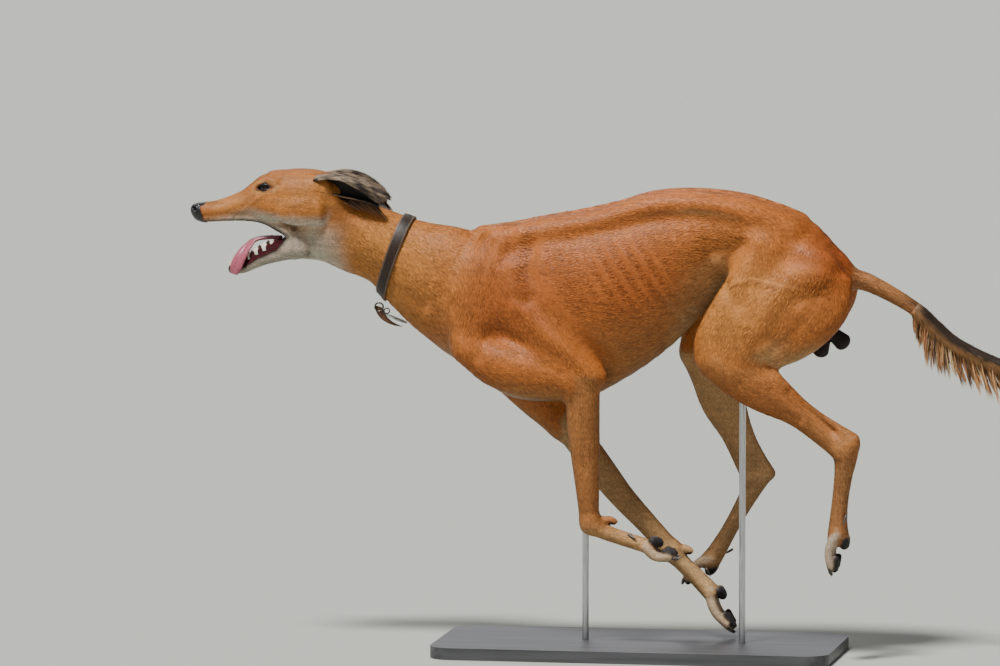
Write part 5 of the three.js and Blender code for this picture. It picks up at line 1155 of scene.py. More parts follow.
# ---------------------------------------------------------------- eyes and lids
# A dark brown eye in a black-rimmed almond. The ball carries the ring of its iris as a measure
# from the line of sight, and each lid is a smooth wet rim that lies on the ball.
def small_mesh(name, points, faces, smooth=True):
    mesh = bpy.data.meshes.new(name)
    mesh.from_pydata(((np.asarray(points, float) + (0, 0, DOG_LIFT)) * MM).tolist(), [], [list(map(int,
        f)) for f in faces])
    mesh.polygons.foreach_set("use_smooth", np.full(len(mesh.polygons), smooth))
    work = bmesh.new()
    work.from_mesh(mesh)
    bmesh.ops.recalc_face_normals(work, faces=work.faces)
    work.to_mesh(mesh)
    work.free()
    return mesh


def loft(stations, sides, side=(0, 1, 0), steps=4, shape=None, caps=0.6):
    """A closed tube through elliptic sections. Stations may carry their own side direction."""
    rows = np.array([list(s) + list(side) if len(s) < 8 else list(s) for s in stations], float)
    path = smooth_path(rows, steps)
    middle = path[:, :3]
    along = unit(np.gradient(middle, axis=0))
    wide = path[:, 5:8] - (path[:, 5:8] * along).sum(1)[:, None] * along
    wide = unit(wide)
    rise = np.cross(along, wide)
    w = np.arange(sides) / sides * 2 * math.pi
    a, b = path[:, 3, None], path[:, 4, None]
    radial = shape(w) if shape else np.ones(sides)
    points = (middle[:, None] + wide[:, None] * (np.cos(w) * b)[..., None]
              + rise[:, None] * (np.sin(w) * a * radial)[..., None]).reshape(-1, 3)
    faces = []
    n = len(path)
    for i in range(n - 1):
        for k in range(sides):
            j = (k + 1) % sides
            faces.append((i * sides + k, i * sides + j, (i + 1) * sides + j, (i + 1) * sides + k))
    ends = []
    for row, sign in ((0, -1), (n - 1, 1)):
        ends.append(middle[row] + along[row] * sign * min(path[row, 3], path[row, 4]) * caps)
        tip = n * sides + len(ends) - 1
        for k in range(sides):
            faces.append((tip, row * sides + k, row * sides + (k + 1) % sides))
    return np.vstack([points, ends]), faces


def joined(shapes):
    points, faces, start = [], [], 0
    for p, f in shapes:
        points.append(p)
        faces += [tuple(i + start for i in face) for face in f]
        start += len(p)
    return np.vstack(points), faces


EYE_STEPS, EYE_SIDES = 26, 40
IRIS_EDGE, PUPIL_EDGE, CORNEA_RISE = 0.66, 0.30, 0.45
eye_material, tree, shader = material("eye", 0.12, Specular_IOR_Level=0.4)
ring = add_node(tree, "ShaderNodeAttribute", attribute_name="ring")
tree.links.new(ramp(tree, ring.outputs["Fac"], [
    (0.0, (0.002, 0.002, 0.002)), (PUPIL_EDGE / 3.15, (0.003, 0.002, 0.002)), (PUPIL_EDGE / 3.15 + 0.012,
    (0.022, 0.009, 0.004)),
    (IRIS_EDGE / 3.15 - 0.02, (0.014, 0.006, 0.003)), (IRIS_EDGE / 3.15 + 0.01, (0.008, 0.005, 0.004)),
    (0.33, (0.03, 0.02, 0.016))]), shader.inputs["Base Color"])
for name, hand in (("left_eye", -1), ("right_eye", 1)):
    centre, gaze, across, up = eye_frame(hand)
    turn = np.arange(EYE_SIDES) / EYE_SIDES * 2 * math.pi
    points, rings = [centre + gaze * (EYE_RADIUS + CORNEA_RISE)], [0.0]
    for i in range(1, EYE_STEPS):
        angle = math.pi * i / EYE_STEPS
        radius = EYE_RADIUS + CORNEA_RISE * math.exp(-((angle / 0.5) ** 2))
        for w in turn:
            points.append(centre + radius * (math.cos(angle) * gaze + math.sin(angle) * (math.cos(w)
                * across + math.sin(w) * up)))
            rings.append(angle / 3.15)
    points.append(centre - gaze * EYE_RADIUS)
    rings.append(1.0)
    faces = [(0, 1 + k, 1 + (k + 1) % EYE_SIDES) for k in range(EYE_SIDES)]
    for i in range(EYE_STEPS - 2):
        for k in range(EYE_SIDES):
            a, b = 1 + i * EYE_SIDES + k, 1 + i * EYE_SIDES + (k + 1) % EYE_SIDES
            faces.append((a, b, b + EYE_SIDES, a + EYE_SIDES))
    last = len(points) - 1
    faces += [(last, last - EYE_SIDES + (k + 1) % EYE_SIDES, last - EYE_SIDES + k) for k in range(EYE_SIDES)]
    mesh = small_mesh(name + "_ball", points, faces)
    measure = mesh.attributes.new("ring", "FLOAT", "POINT")
    measure.data.foreach_set("value", rings)
    mesh.materials.append(eye_material)
    ball = new_object(name + "_ball", mesh)
    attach(ball, "root")
    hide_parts(name)

lid_material, tree, shader = material("eye_rim", 0.34, (0.014, 0.010, 0.009))
bump(tree, shader, object_noise(tree, 800, 3), 0.3, 0.0003)
lid_shapes = []
for hand in (-1, 1):
    centre, gaze, across, up = eye_frame(hand)
    for rise, sign, thick in ((LID_UPPER, 1, 1.5), (LID_LOWER, -1, 1.15)):
        rows = []
        for i in range(15):
            w = i / 14 * math.pi
            u, h = math.cos(w) * LID_HALF, math.sin(w) * rise * sign
            deep = math.sqrt(max((EYE_RADIUS + 0.9) ** 2 - u * u * 0.9 - h * h, 4))
            size = thick * (0.5 + 0.5 * math.sin(w))
            rows.append((*(centre + gaze * deep + across * u + up * h), size, size, *gaze))
        lid_shapes.append(loft(rows, 10, steps=2))
mesh = small_mesh("eyelids", *joined(lid_shapes))
mesh.materials.append(lid_material)
lids = new_object("eyelids", mesh)
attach(lids, "root")


# ---------------------------------------------------------------- tongue and teeth
# The tongue hangs over the near lip behind the long canine, pink and wet, with a shallow groove.
# The lower teeth stand in the gum: small front teeth, the long canine, then the cheek teeth.
TONGUE = [
    (-608, 0, 659, 3.4, 12.5, 0, 1, 0), (-630, 0, 659, 3.8, 11.5, 0, 1, 0), (-652, -3, 655, 3.8, 11.5,
    -0.2, 1, 0.1),
    (-664, -12, 643, 3.6, 11, -0.5, 0.8, 0.4), (-673, -19.5, 628, 3.4, 11, -0.8, 0.45, 0.4),
    (-680, -22.5, 612, 3.2, 11, -0.9, 0.3, 0.3), (-684, -21.5, 599, 2.2, 7, -0.9, 0.3, 0.3)]
mesh = small_mesh("tongue_flesh", *loft(TONGUE, 36, steps=8,
    shape=lambda w: 1 - 0.45 * np.exp(-(np.cos(w) / 0.2) ** 2)))
tongue_material, tree, shader = material("tongue", 0.32, (0.40, 0.09, 0.13), Specular_IOR_Level=0.5)
grain = object_noise(tree, 520, 5)
tree.links.new(ramp(tree, grain, [(0.3, (0.28, 0.055, 0.085)), (0.7, (0.44, 0.12, 0.16))]),
    shader.inputs["Base Color"])
bump(tree, shader, grain, 0.35, 0.0007)
mesh.materials.append(tongue_material)
tongue = new_object("tongue_flesh", mesh)
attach(tongue, "root")
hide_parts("tongue")

TEETH = [
    (-688, 8.5, 612, -6, 1, 17, 3.1), (-693, 2.2, 609, -5, 0, 8, 1.8), (-692, 5.4, 609, -5, 0.4, 8.5, 1.8),
    (-672, 10.5, 621, -1, 0, 7, 3.4), (-660, 12.5, 628, -1, 0, 8, 4.2), (-647, 14.5, 636, -1, 0, 8.5, 4.8),
    (-633, 16, 643, 0, 0, 9.5, 5.6), (-620, 17.5, 650, 1, 0, 8, 4.4)]
tooth_shapes = []
for hand in (-1, 1):
    for x, y, z, lean_x, lean_y, height, r in TEETH:
        rows = [(x + 1, y * hand, z - 5, r, r * 0.8), (x + lean_x * 0.15, y * hand, z + height * 0.2,
            r * 0.98, r * 0.66),
                (x + lean_x * 0.45, (y + lean_y * 0.4) * hand, z + height * 0.6, r * 0.7, r * 0.42),
                (x + lean_x, (y + lean_y) * hand, z + height, 0.5, 0.5)]
        tooth_shapes.append(loft(rows, 12, steps=4))
mesh = small_mesh("lower_teeth", *joined(tooth_shapes))
tooth_material, tree, shader = material("tooth", 0.22, (0.78, 0.72, 0.58), Specular_IOR_Level=0.55)
tree.links.new(ramp(tree, object_noise(tree, 160, 3), [(0.35, (0.70, 0.60, 0.42)), (0.6, (0.84, 0.80,
    0.68))]), shader.inputs["Base Color"])
mesh.materials.append(tooth_material)
teeth = new_object("lower_teeth", mesh)
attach(teeth, "root")


# ---------------------------------------------------------------- claws
# Dark horn, blunt from running, curving down out of the end of each toe, and one on the inner
# side of each limb above the foot.
CLAW_LENGTH, CLAW_RADIUS = 12.0, 2.7
claw_shapes = []
for group, tip, aim, side, sag in CLAWS:
    aim, side = unit(aim), unit(side)
    down = unit(np.cross(side, aim))
    rows = []
    for t, drop, size in ((-0.5, 0, 1), (0, 0.05, 1), (0.4, 0.2, 0.85), (0.75, -0.15, 0.55), (1, -0.6, 0.15)):
        p = tip + aim * t * CLAW_LENGTH + down * drop * sag
        rows.append((*p, CLAW_RADIUS * size, CLAW_RADIUS * size * 0.75, *side))
    claw_shapes.append(loft(rows, 12, steps=3))
mesh = small_mesh("claws", *joined(claw_shapes))
claw_material, tree, shader = material("claw", 0.35, (0.05, 0.04, 0.034), Specular_IOR_Level=0.5)
tree.links.new(ramp(tree, object_noise(tree, 260, 4, (1, 1, 0.3)), [(0.35, (0.018, 0.014, 0.012)), (0.7,
    (0.12, 0.095, 0.075))]),
               shader.inputs["Base Color"])
mesh.materials.append(claw_material)
claws = new_object("claws", mesh)
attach(claws, "root")


# ---------------------------------------------------------------- ears
# Each ear is a thin leaf of gristle folded along its length and laid back, its hollow facing out
# and down. Its back is brindled, its hollow painted near-black as shade, and longer hair fringes the lower
# edge.
EAR = [
    (-541, 27, 754, 13, 12, 0.9, 3.0), (-524, 35, 753, 13, 16, 0.95, 2.8), (-505, 40, 752, 12.5, 19, 0.95,
    2.6),
    (-485, 42, 747, 11, 19.5, 0.75, 2.4), (-465, 42, 739, 9, 16, 0.55, 2.4), (-448, 40, 730, 6.5, 10.5,
    0.45, 2.4),
    (-434, 37, 721, 3.6, 4.6, 0.4, 2.2)]
EAR_STEPS, EAR_ROUND = 6, 24
EAR_GREY, EAR_TAN, EAR_DARK = (0.34, 0.245, 0.16), (0.46, 0.30, 0.17), (0.022, 0.015, 0.012)
EAR_HAIRS, EAR_FRINGE_HAIRS = ((3600, 620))


def ear_surface(row, turn, off, hand):
    """Place, outward normal and way to the tip on an ear. row: 0 to 1 along it; turn: 0 to 1 round it."""
    path = smooth_path(EAR, EAR_STEPS)
    along = unit(np.gradient(path[:, :3], axis=0))
    at = np.asarray(row) * (len(path) - 1)
    low = np.minimum(at.astype(int), len(path) - 2)
    mix = (at - low)[:, None]
    station = path[low] * (1 - mix) + path[low + 1] * mix
    way = unit(along[low] * (1 - mix) + along[low + 1] * mix)
    out = np.array((0, 0.86, -0.5)) - (way @ np.array((0, 0.86, -0.5)))[:, None] * way
    out = unit(out)
    up = np.cross(out, way)
    up *= np.where(up[:, 2:] < 0, -1, 1)
    w = station[:, 5] + np.asarray(turn) * 2 * (math.pi - station[:, 5])
    grow = off * station[:, 6] / 2
    radial = out * np.cos(w)[:, None] + up * np.sin(w)[:, None]
    place = (station[:, :3] + out * (np.cos(w) * (station[:, 3] + grow))[:, None]
             + up * (np.sin(w) * (station[:, 4] + grow))[:, None])
    mirror = np.array((1, hand, 1))
    return place * mirror, radial * mirror, way * mirror


def ear_tint(place, row, turn, outer):
    streak = np.clip(0.5 + 0.6 * mottle(place * (0.3, 1, 1), 8, 5), 0, 1)[:, None]
    streak = streak * np.clip(1.5 - row, 0.2, 1)[:, None]
    back = np.array(EAR_GREY) * streak + np.array(EAR_DARK) * (1 - streak)
    rim = np.clip((turn - 0.78) / 0.12, 0, 1) * np.clip((0.75 - row) / 0.2, 0, 1)
    tint = back + (np.array(EAR_TAN) - back) * (0.8 * rim)[:, None]
    # The inside of the ear is painted near-black as shade in its hollow.
    return np.where(outer[:, None], tint, np.array(EAR_DARK) * 0.8)


def blades(name, root, aim, normal, long, wide, bend, tint, patch):
    """Long hairs: each a tapering strip of three lengths that bends its own way."""
    t = np.array((0.0, 0.34, 0.68, 1.0))
    path = root[:, None] + aim[:, None] * (long[:, None] * t)[..., None] + bend[:, None] * (long[:,
        None] * t ** 2)[..., None]
    across = unit(np.cross(normal, aim))
    half = across[:, None] * (wide[:, None] * np.array((0.36, 0.5, 0.34)))[..., None]
    made, faces = strands(path[:, :3], half, path[:, 3])
    # Each long hair is darker at its root as painted shade among the hairs, lighter toward its tip, and
    # varies at random.
    shade = np.array((0.7, 0.7, 0.95, 0.95, 1.08, 1.08, 1.2))[None, :,
        None] * (1 + 0.14 * rng.normal(size=(len(root), 1, 1)))
    lean = np.array((-1, 1, -1, 1, -1, 1, 0.0))[None, :, None] * across[:, None] * 0.35
    offset = np.array(((-0.5, 0), (0.5, 0), (-0.5, 0.33), (0.5, 0.33), (-0.5, 0.66), (0.5, 0.66), (0,
        1))) * PATCH
    piece = strand_mesh(name, made, faces, normal[:, None] + lean, np.clip(tint[:, None] * shade, 0.003,
        0.95),
                        patch[:, None] + offset[None], coat_material)
    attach(piece, "root")


def patch_at(row, turn):
    return np.stack([0.03 + 0.93 * row, 0.03 + 0.93 * turn], 1)


def point_uv(mesh, uv):
    corner = np.zeros(len(mesh.loops), np.int32)
    mesh.loops.foreach_get("vertex_index", corner)
    set_uv(mesh, uv[corner])


for side_name, hand in (("left", -1), ("right", 1)):
    rows = EAR_STEPS * (len(EAR) - 1) + 1
    row = np.repeat(np.linspace(0, 1, rows), EAR_ROUND * 2)
    turn = np.tile(np.concatenate([np.linspace(0, 1, EAR_ROUND), np.linspace(1, 0, EAR_ROUND)]), rows)
    outer = np.tile(np.repeat((True, False), EAR_ROUND), rows)
    places, radial, way = ear_surface(row, turn, np.where(outer, 1.0, -1.0), hand)
    crumple = 0.7 * mottle(places, 11, 8) * np.clip((turn - 0.6) / 0.3, 0, 1) * np.clip(1.2 - row, 0, 1)
    places = places + radial * crumple[:, None]
    ring = EAR_ROUND * 2
    faces = [(i * ring + k, i * ring + (k + 1) % ring, (i + 1) * ring + (k + 1) % ring, (i + 1) * ring + k)
             for i in range(rows - 1) for k in range(ring)]
    for start in (0, (rows - 1) * ring):
        faces += [(start + k, start + k + 1, start + ring - 2 - k,
            start + ring - 1 - k) for k in range(EAR_ROUND - 1)]
    mesh = small_mesh(side_name + "_ear_leaf", places, faces)
    set_tone(mesh, ear_tint(places, row, turn, outer), np.zeros(len(places)))
    point_uv(mesh, patch_at(row, np.where(outer, turn * 0.5, 1 - turn * 0.5)))
    mesh.materials.append(skin_material)
    leaf = new_object(side_name + "_ear_leaf", mesh)
    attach(leaf, "root")
    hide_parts(side_name + "_ear")

    row, turn = rng.random(EAR_HAIRS) * 0.97, rng.random(EAR_HAIRS)
    root, radial, way = ear_surface(row, turn, np.full(EAR_HAIRS, 0.8), hand)
    tone_here = ear_tint(root, row, turn, np.full(EAR_HAIRS, True))
    aim = unit(way + radial * 0.12 + rng.normal(0, 0.1, (EAR_HAIRS, 3)))
    blades(side_name + "_ear_hair", root, aim, radial, rng.uniform(5, 10, EAR_HAIRS), rng.uniform(0.6,
        1.1, EAR_HAIRS),
           way * 0.1, tone_here, patch_at(row, turn * 0.5))

    count = EAR_FRINGE_HAIRS
    row, turn = rng.uniform(0.3, 0.98, count), np.clip(rng.normal(0.9, 0.07, count), 0, 1)
    root, radial, way = ear_surface(row, turn, np.full(count, 0.4), hand)
    aim = unit(way + np.array((0.1, 0, -0.45)) + rng.normal(0, 0.1, (count, 3)))
    pale = np.where(rng.random(count)[:, None] < 0.3, np.array(EAR_TAN), np.array(EAR_DARK))
    blades(side_name + "_ear_fringe", root, aim, radial, rng.uniform(14, 27, count), rng.uniform(0.5,
        0.95, count),
           np.tile((0.1, 0, -0.22), (count, 1)), pale, patch_at(row, 0.5 + turn * 0.5))


# ---------------------------------------------------------------- tail
# A thin bare-boned tail carried low behind: dark along the top, with golden and brown hair hanging
# from its underside in pointed wisps that sweep back. Its last hand's breadth is out of the photo.
TAIL_FROM, TAIL_SIDES = 455.0, 20
TAIL_HAIRS, TAIL_WISPS, WISP_HAIRS = ((7500, 125, 24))
TAIL_TONES = np.array(((0.40, 0.20, 0.08), (0.26, 0.11, 0.04), (0.52, 0.36, 0.19), (0.10, 0.05, 0.025)))
core = next(form for form in FORMS if form.name == "tail_core").path[:, :5]
core = np.vstack([core[core[:, 0] > TAIL_FROM], (800, 0, 453, 4, 4)])
tail_way = unit(np.gradient(core[:, :3], axis=0))
tail_side = np.tile((0.0, 1.0, 0.0), (len(core), 1))
tail_rise = np.cross(tail_way, tail_side)
tail_rise *= np.where(tail_rise[:, 2:] < 0, -1, 1)


def on_tail(row, angle):
    """Place, outward normal, way and downward on the tail. row: 0 to 1; angle: nought at the top."""
    at = row * (len(core) - 1)
    low = np.minimum(at.astype(int), len(core) - 2)
    mix = (at - low)[:, None]
    station, way, rise = (v[low] * (1 - mix) + v[low + 1] * mix for v in (core, tail_way, tail_rise))
    side = np.tile((0.0, 1.0, 0.0), (len(row), 1))
    out = unit(rise * np.cos(angle)[:, None] + side * np.sin(angle)[:, None])
    place = (station[:, :3] + rise * (np.cos(angle) * station[:, 3])[:, None]
             + side * (np.sin(angle) * station[:, 4])[:, None])
    return place, out, way, rise


def tail_tint(place, out):
    base = np.tile(TAIL_TONES[0], (len(place), 1)) * (1 + 0.25 * mottle(place, 24, 13))[:, None]
    dark = np.clip((place[:, 0] - 445) / 30, 0, 1) * np.clip(out[:, 2] * 1.4 + 0.55, 0, 1) * 0.95
    return base + (np.array((0.016, 0.012, 0.010)) - base) * dark[:, None]


points, faces = loft([(*s, 0, 1, 0) for s in core], TAIL_SIDES, steps=1)
mesh = small_mesh("tail_bone", points, faces)
row = np.append(np.repeat(np.linspace(0, 1, (len(points) - 2) // TAIL_SIDES), TAIL_SIDES), (0, 1))
turn = np.append(np.tile(np.arange(TAIL_SIDES) / TAIL_SIDES, (len(points) - 2) // TAIL_SIDES), (0, 0))
facing = np.zeros((len(points), 3))
facing[:, 2] = points[:, 2] - np.interp(points[:, 0], core[:, 0], core[:, 2])
set_tone(mesh, tail_tint(points, unit(facing + 1e-6)), np.zeros(len(points)))
point_uv(mesh, patch_at(row, turn * 0.5))
mesh.materials.append(skin_material)
bone = new_object("tail_bone", mesh)
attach(bone, "root")
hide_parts("tail_middle", "tail_tip")

row, angle = rng.random(TAIL_HAIRS), rng.uniform(-math.pi, math.pi, TAIL_HAIRS)
root, out, way, rise = on_tail(row, angle)
aim = unit(way + out * 0.22 - rise * 0.12 + rng.normal(0, 0.07, (TAIL_HAIRS, 3)))
blades("tail_hair", root - out * 0.5, aim, out, rng.uniform(11, 19, TAIL_HAIRS), rng.uniform(0.7, 1.3,
    TAIL_HAIRS),
       -rise * 0.12, tail_tint(root, out), patch_at(row, (angle / (2 * math.pi) + 0.5) * 0.5))

wisp_row = np.sort(np.clip(np.linspace(0.02, 1, TAIL_WISPS) + rng.normal(0, 0.004, TAIL_WISPS), 0, 1))
of_wisp = np.repeat(np.arange(TAIL_WISPS), WISP_HAIRS)
count = len(of_wisp)
wisp_open = rng.normal(0.80, 0.10, TAIL_WISPS)
wisp_lean = rng.normal(0, 0.14, TAIL_WISPS)
wisp_long = rng.uniform(48, 68, TAIL_WISPS) * np.clip(0.4 + wisp_row * 4.5, 0,
    1) * np.where(wisp_row > 0.9, 0.85, 1)
row = np.clip(wisp_row[of_wisp] + rng.normal(0, 0.007, count), 0, 1)
angle = math.pi + rng.normal(0, 0.5, count)
root, out, way, rise = on_tail(row, angle)
wisp_root, _, wisp_way, wisp_rise = on_tail(wisp_row, np.full(TAIL_WISPS, math.pi))
wisp_aim = unit(wisp_way * np.cos(wisp_open)[:, None] - wisp_rise * np.sin(wisp_open)[:, None]
                + np.array((0, 1, 0)) * wisp_lean[:, None])
end = (wisp_root + wisp_aim * wisp_long[:, None])[of_wisp] + rng.normal(0, 1.5, (count, 3))
share = rng.uniform(0.72, 1.02, count)
reach = (end - root) * share[:, None]
long = np.linalg.norm(reach, axis=1)
bend = way * 0.16
aim = reach / np.maximum(long, 1)[:, None] - bend
tone_pick = TAIL_TONES[rng.choice(4, TAIL_WISPS, p=(0.42, 0.26, 0.2, 0.12))][of_wisp]
blades("tail_wisps", root, aim, unit(np.array((0.1, -1, 0.2)) + rng.normal(0, 0.35, (count, 3))), long,
       rng.uniform(0.7, 1.35, count), bend, tone_pick, patch_at(row,
       0.55 + 0.4 * (angle / (2 * math.pi) % 1)))


# ---------------------------------------------------------------- collar
# A wide band of dark brown leather round the neck, its edges rounded and rubbed paler, sewn with
# a light thread along both. It lies on the coat, closed all round, with no buckle shown.
BAND_STEPS = 144
BAND_PROFILE = [(-10, 1.5), (-9.4, 0.7), (-5, 0.6), (0, 0.6), (5, 0.6), (9.4, 0.7), (10, 1.5), (10, 3.0),
    (9.3, 3.7),
                (7.6, 3.5), (5, 3.85), (0, 3.95), (-5, 3.85), (-7.6, 3.5), (-9.3, 3.7), (-10, 3.0)]
STITCH_LINE, STITCH_COUNT, STITCH_LONG = 7.6, 96, 0.0022


def band_points(along, off):
    """Places round the neck at this distance along the collar's axis and this far off the coat."""
    turn = np.arange(BAND_STEPS) / BAND_STEPS * 2 * math.pi
    side = np.array((0.0, 1, 0))
    rise = np.cross(COLLAR_AXIS, side)
    aim = np.cos(turn)[:, None] * side + np.sin(turn)[:, None] * rise
    centre = COLLAR_AT + COLLAR_AXIS * along
    low, high = np.full(BAND_STEPS, 20.0), np.full(BAND_STEPS, 110.0)
    for _ in range(18):
        middle = (low + high) / 2
        inside = blended((centre + aim * middle[:, None]).astype(np.float32)) < 0
        low, high = np.where(inside, middle, low), np.where(inside, high, middle)
    reach = (np.roll(low, 1) + 2 * low + np.roll(low, -1)) / 4
    return centre + aim * (reach + off)[:, None]


loops = [band_points(along, off) for along, off in BAND_PROFILE]
n = len(loops)
points = np.stack(loops, 1).reshape(-1, 3)
faces = [(i * n + k, i * n + (k + 1) % n, (i + 1) % BAND_STEPS * n + (k + 1) % n,
    (i + 1) % BAND_STEPS * n + k)
         for i in range(BAND_STEPS) for k in range(n)]
mesh = small_mesh("collar_band", points, faces)
edge = mesh.attributes.new("edge", "FLOAT", "POINT")
edge.data.foreach_set("value", np.tile([1.0 if abs(a) > 9.2 else 0.0 for a, _ in BAND_PROFILE], BAND_STEPS))
leather, tree, shader = material("collar_leather", 0.48, Specular_IOR_Level=0.35)
rub = add_node(tree, "ShaderNodeAttribute", attribute_name="edge")
grain = object_noise(tree, 340, 5)
blend = add_node(tree, "ShaderNodeMix", data_type="RGBA")
tree.links.new(rub.outputs["Fac"], blend.inputs["Factor"])
tree.links.new(ramp(tree, grain, [(0.35, (0.012, 0.006, 0.0035)), (0.65, (0.032, 0.016, 0.009))]),
    blend.inputs["A"])
blend.inputs["B"].default_value = (0.11, 0.065, 0.04, 1)
tree.links.new(blend.outputs["Result"], shader.inputs["Base Color"])
bump(tree, shader, grain, 0.5, 0.0005)
mesh.materials.append(leather)
band = new_object("collar_band", mesh)
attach(band, "root")
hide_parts("collar")

thread, tree, shader = material("thread", 0.7, (0.34, 0.24, 0.15))
bump(tree, shader, object_noise(tree, 2400, 2), 0.4, 0.0002)
sewing = bpy.data.node_groups.new("sewing", "GeometryNodeTree")
sewing.interface.new_socket(name="Lines", in_out="INPUT", socket_type="NodeSocketGeometry")
count_socket = sewing.interface.new_socket(name="Stitches", in_out="INPUT", socket_type="NodeSocketInt")
size_socket = sewing.interface.new_socket(name="Stitch length", in_out="INPUT", socket_type="NodeSocketFloat")
sewing.interface.new_socket(name="Thread", in_out="OUTPUT", socket_type="NodeSocketGeometry")
inlet, outlet = sewing.nodes.new("NodeGroupInput"), sewing.nodes.new("NodeGroupOutput")
curve = sewing.nodes.new("GeometryNodeMeshToCurve")
spaced = sewing.nodes.new("GeometryNodeResampleCurve")
heading = sewing.nodes.new("GeometryNodeInputTangent")
aligned = sewing.nodes.new("FunctionNodeAlignRotationToVector")
aligned.axis = "X"
stitch = sewing.nodes.new("GeometryNodeMeshUVSphere")
stitch.inputs["Segments"].default_value = 8
stitch.inputs["Rings"].default_value = 5
stitch.inputs["Radius"].default_value = 1.0
shape = sewing.nodes.new("ShaderNodeCombineXYZ")
halved = sewing.nodes.new("ShaderNodeMath")
halved.operation = "MULTIPLY"
halved.inputs[1].default_value = 0.5
shape.inputs["Y"].default_value = 0.00042
shape.inputs["Z"].default_value = 0.00042
laid = sewing.nodes.new("GeometryNodeInstanceOnPoints")
real = sewing.nodes.new("GeometryNodeRealizeInstances")
spun = sewing.nodes.new("GeometryNodeSetMaterial")
spun.inputs["Material"].default_value = thread
for a, b in ((inlet.outputs["Lines"], curve.inputs["Mesh"]), (curve.outputs["Curve"], spaced.inputs["Curve"]),
             (inlet.outputs["Stitches"], spaced.inputs["Count"]), (spaced.outputs["Curve"],
             laid.inputs["Points"]),
             (heading.outputs["Tangent"], aligned.inputs["Vector"]), (aligned.outputs["Rotation"],
             laid.inputs["Rotation"]),
             (stitch.outputs["Mesh"], laid.inputs["Instance"]), (inlet.outputs["Stitch length"],
             halved.inputs[0]),
             (halved.outputs[0], shape.inputs["X"]), (shape.outputs["Vector"], laid.inputs["Scale"]),
             (laid.outputs["Instances"], real.inputs["Geometry"]), (real.outputs["Geometry"],
             spun.inputs["Geometry"]),
             (spun.outputs["Geometry"], outlet.inputs["Thread"])):
    sewing.links.new(a, b)
lines = bpy.data.meshes.new("stitch_lines")
places = np.vstack([band_points(along, 3.7) for along in (-STITCH_LINE, STITCH_LINE)])
places = (places + (0, 0, DOG_LIFT)) * MM
edges = [(s * BAND_STEPS + i, s * BAND_STEPS + (i + 1) % BAND_STEPS) for s in (0,
    1) for i in range(BAND_STEPS)]
lines.from_pydata(places.tolist(), edges, [])
guide = new_object("stitch_guide", lines)
sew = guide.modifiers.new("sewing", "NODES")
sew.node_group = sewing
sew[count_socket.identifier] = STITCH_COUNT
sew[size_socket.identifier] = STITCH_LONG
bpy.context.view_layer.update()
mesh = bpy.data.meshes.new_from_object(guide.evaluated_get(bpy.context.evaluated_depsgraph_get()))
bpy.data.objects.remove(guide)
stitches = new_object("collar_stitches", mesh)
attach(stitches, "root")


# ---------------------------------------------------------------- collar fittings
# A steel ring hangs at the throat with a horn-shaped leather tab; a smaller ring carries a thin
# oval plastic tag, seen almost on its edge. All hang free below the band.
def torus(at, radius, wire, around=48, sides=14):
    u, v = np.meshgrid(np.arange(around) / around * 2 * math.pi, np.arange(sides) / sides * 2 * math.pi,
        indexing="ij")
    flat = (radius + wire * np.cos(v))
    points = np.stack([flat * np.cos(u), wire * np.sin(v), flat * np.sin(u)], -1)
    faces = [(i * sides + k, i * sides + (k + 1) % sides, (i + 1) % around * sides + (k + 1) % sides,
        (i + 1) % around * sides + k)
             for i in range(around) for k in range(sides)]
    return points.reshape(-1, 3) + np.array(at), faces


def slab(outline, low, high, rounding):
    """A flat plate with rounded edges from a closed outline; local third measure is its thickness."""
    outline = np.asarray(outline)
    way = unit(np.roll(outline, -1, 0) - np.roll(outline, 1, 0))
    inward = np.stack([-way[:, 1], way[:, 0]], 1)
    area = np.sum(outline[:, 0] * np.roll(outline[:, 1], -1) - outline[:, 1] * np.roll(outline[:, 0], -1))
    inward *= 1 if area > 0 else -1
    n, points = len(outline), []
    for level, inset in ((low, 1.0), (low + rounding * 0.3, 0.3), (low + rounding, 0), (high - rounding, 0),
                         (high - rounding * 0.3, 0.3), (high, 1.0)):
        points.append(np.column_stack([outline + inward * inset * rounding, np.full(n, level)]))
    faces = [(i * n + k, i * n + (k + 1) % n, (i + 1) * n + (k + 1) % n,
        (i + 1) * n + k) for i in range(5) for k in range(n)]
    return np.vstack(points), faces + [tuple(range(n)), tuple(range(5 * n, 6 * n))]


def bezier(a, b, c, d, steps):
    t = np.arange(steps)[:, None] / steps
    return ((1 - t) ** 3 * np.array(a) + 3 * (1 - t) ** 2 * t * np.array(b) + 3 * (1 - t) * t ** 2
        * np.array(c)
            + t ** 3 * np.array(d))


def fitting(name, points, faces, surface, node, slot):
    mesh = small_mesh(name, points, faces)
    mesh.materials.append(surface)
    piece = new_object(name, mesh)
    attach(piece, "root")
    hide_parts(node)


steel, tree, shader = material("ring_steel", 0.3, (0.24, 0.22, 0.20), Metallic=1.0)
tree.links.new(ramp(tree, object_noise(tree, 500, 4), [(0.35, (0.07, 0.06, 0.052)), (0.6, (0.18, 0.165,
    0.15))]),
               shader.inputs["Base Color"])
bump(tree, shader, object_noise(tree, 1500, 3), 0.2, 0.0002)
fitting("steel_ring", *torus((-441, -3.8, 545.5), 7, 1.4), steel, "collar_ring", "ring_metal")
fitting("small_steel_ring", *torus((-428, -3.8, 539.2), 4.5, 1.1), steel, "tag_ring", "ring_metal")

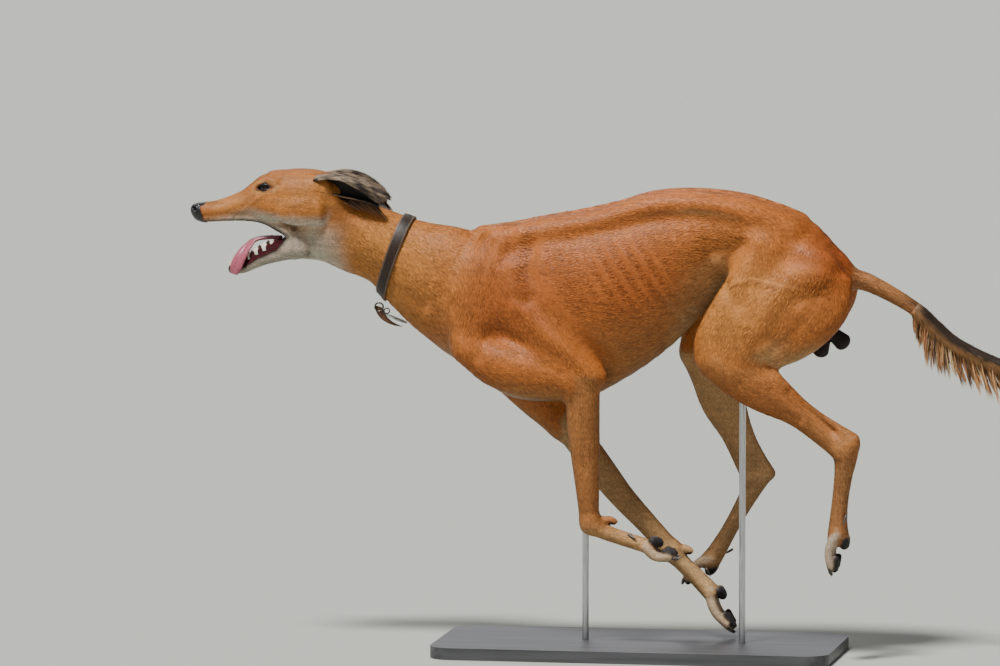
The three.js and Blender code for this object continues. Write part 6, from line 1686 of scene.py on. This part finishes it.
hide, tree, shader = material("tab_leather", 0.5, Specular_IOR_Level=0.45)
grain = object_noise(tree, 260, 5)
tree.links.new(ramp(tree, grain, [(0.35, (0.085, 0.032, 0.011)), (0.65, (0.16, 0.066, 0.026))]),
    shader.inputs["Base Color"])
bump(tree, shader, grain, 0.45, 0.0005)
horn = np.vstack([bezier((-449, 547.8), (-449, 534), (-436, 514), (-402, 513), 22),
                  bezier((-402, 513), (-416, 518), (-430, 524), (-435.5, 544), 22), [(-435.5, 544), (-442,
                  546)]])
points, faces = slab(horn, -2, 2, 0.6)
fitting("leather_tab", points[:, (0, 2, 1)], faces, hide, "collar_tab", "tab_leather")

plastic, tree, shader = material("tag_plastic", 0.34, Specular_IOR_Level=0.5)
scuff = object_noise(tree, 320, 5)
tree.links.new(ramp(tree, scuff, [(0.35, (0.36, 0.42, 0.36)), (0.6, (0.50, 0.55, 0.48))]),
    shader.inputs["Base Color"])
bump(tree, shader, scuff, 0.25, 0.0003)
turn = np.arange(64) / 64 * 2 * math.pi
points, faces = slab(np.stack([19 * np.cos(turn), 12 * np.sin(turn)], 1), 0, 2, 0.5)
lean = 0.36
points = np.stack([points[:, 0] * math.cos(lean) + points[:, 2] * math.sin(lean), points[:, 1],
                   points[:, 2] * math.cos(lean) - points[:, 0] * math.sin(lean)], 1) + (-412, -2, 525)
fitting("oval_tag", points, faces, plastic, "tag", "tag_plastic")


# ---------------------------------------------------------------- display stand
# A low steel-faced base and two slim rods that hold the dog in its flying stride. The base is
# satin dark grey, brushed along its length; the rods are bright brushed steel.
plate_finish, tree, shader = material("plate_finish", 0.42, (0.09, 0.09, 0.095), Metallic=0.6)
brushed = object_noise(tree, 90, 4, (0.04, 1, 1))
tree.links.new(ramp(tree, brushed, [(0.35, (0.07, 0.07, 0.075)), (0.65, (0.12, 0.12, 0.125))]),
    shader.inputs["Base Color"])
bump(tree, shader, brushed, 0.2, 0.0003)
rod_finish, tree, shader = material("rod_finish", 0.28, (0.55, 0.55, 0.56), Metallic=1.0)
turned = object_noise(tree, 700, 3, (1, 1, 0.05))
tree.links.new(ramp(tree, turned, [(0.35, (0.46, 0.46, 0.47)), (0.65, (0.64, 0.64, 0.65))]),
    shader.inputs["Base Color"])
bump(tree, shader, turned, 0.2, 0.0002)
for node_name, finish in (("stand_base", plate_finish), ("stand_rod_front", rod_finish),
        ("stand_rod_rear", rod_finish)):
    for place_for in bpy.data.objects[node_name].material_slots:
        place_for.material = finish
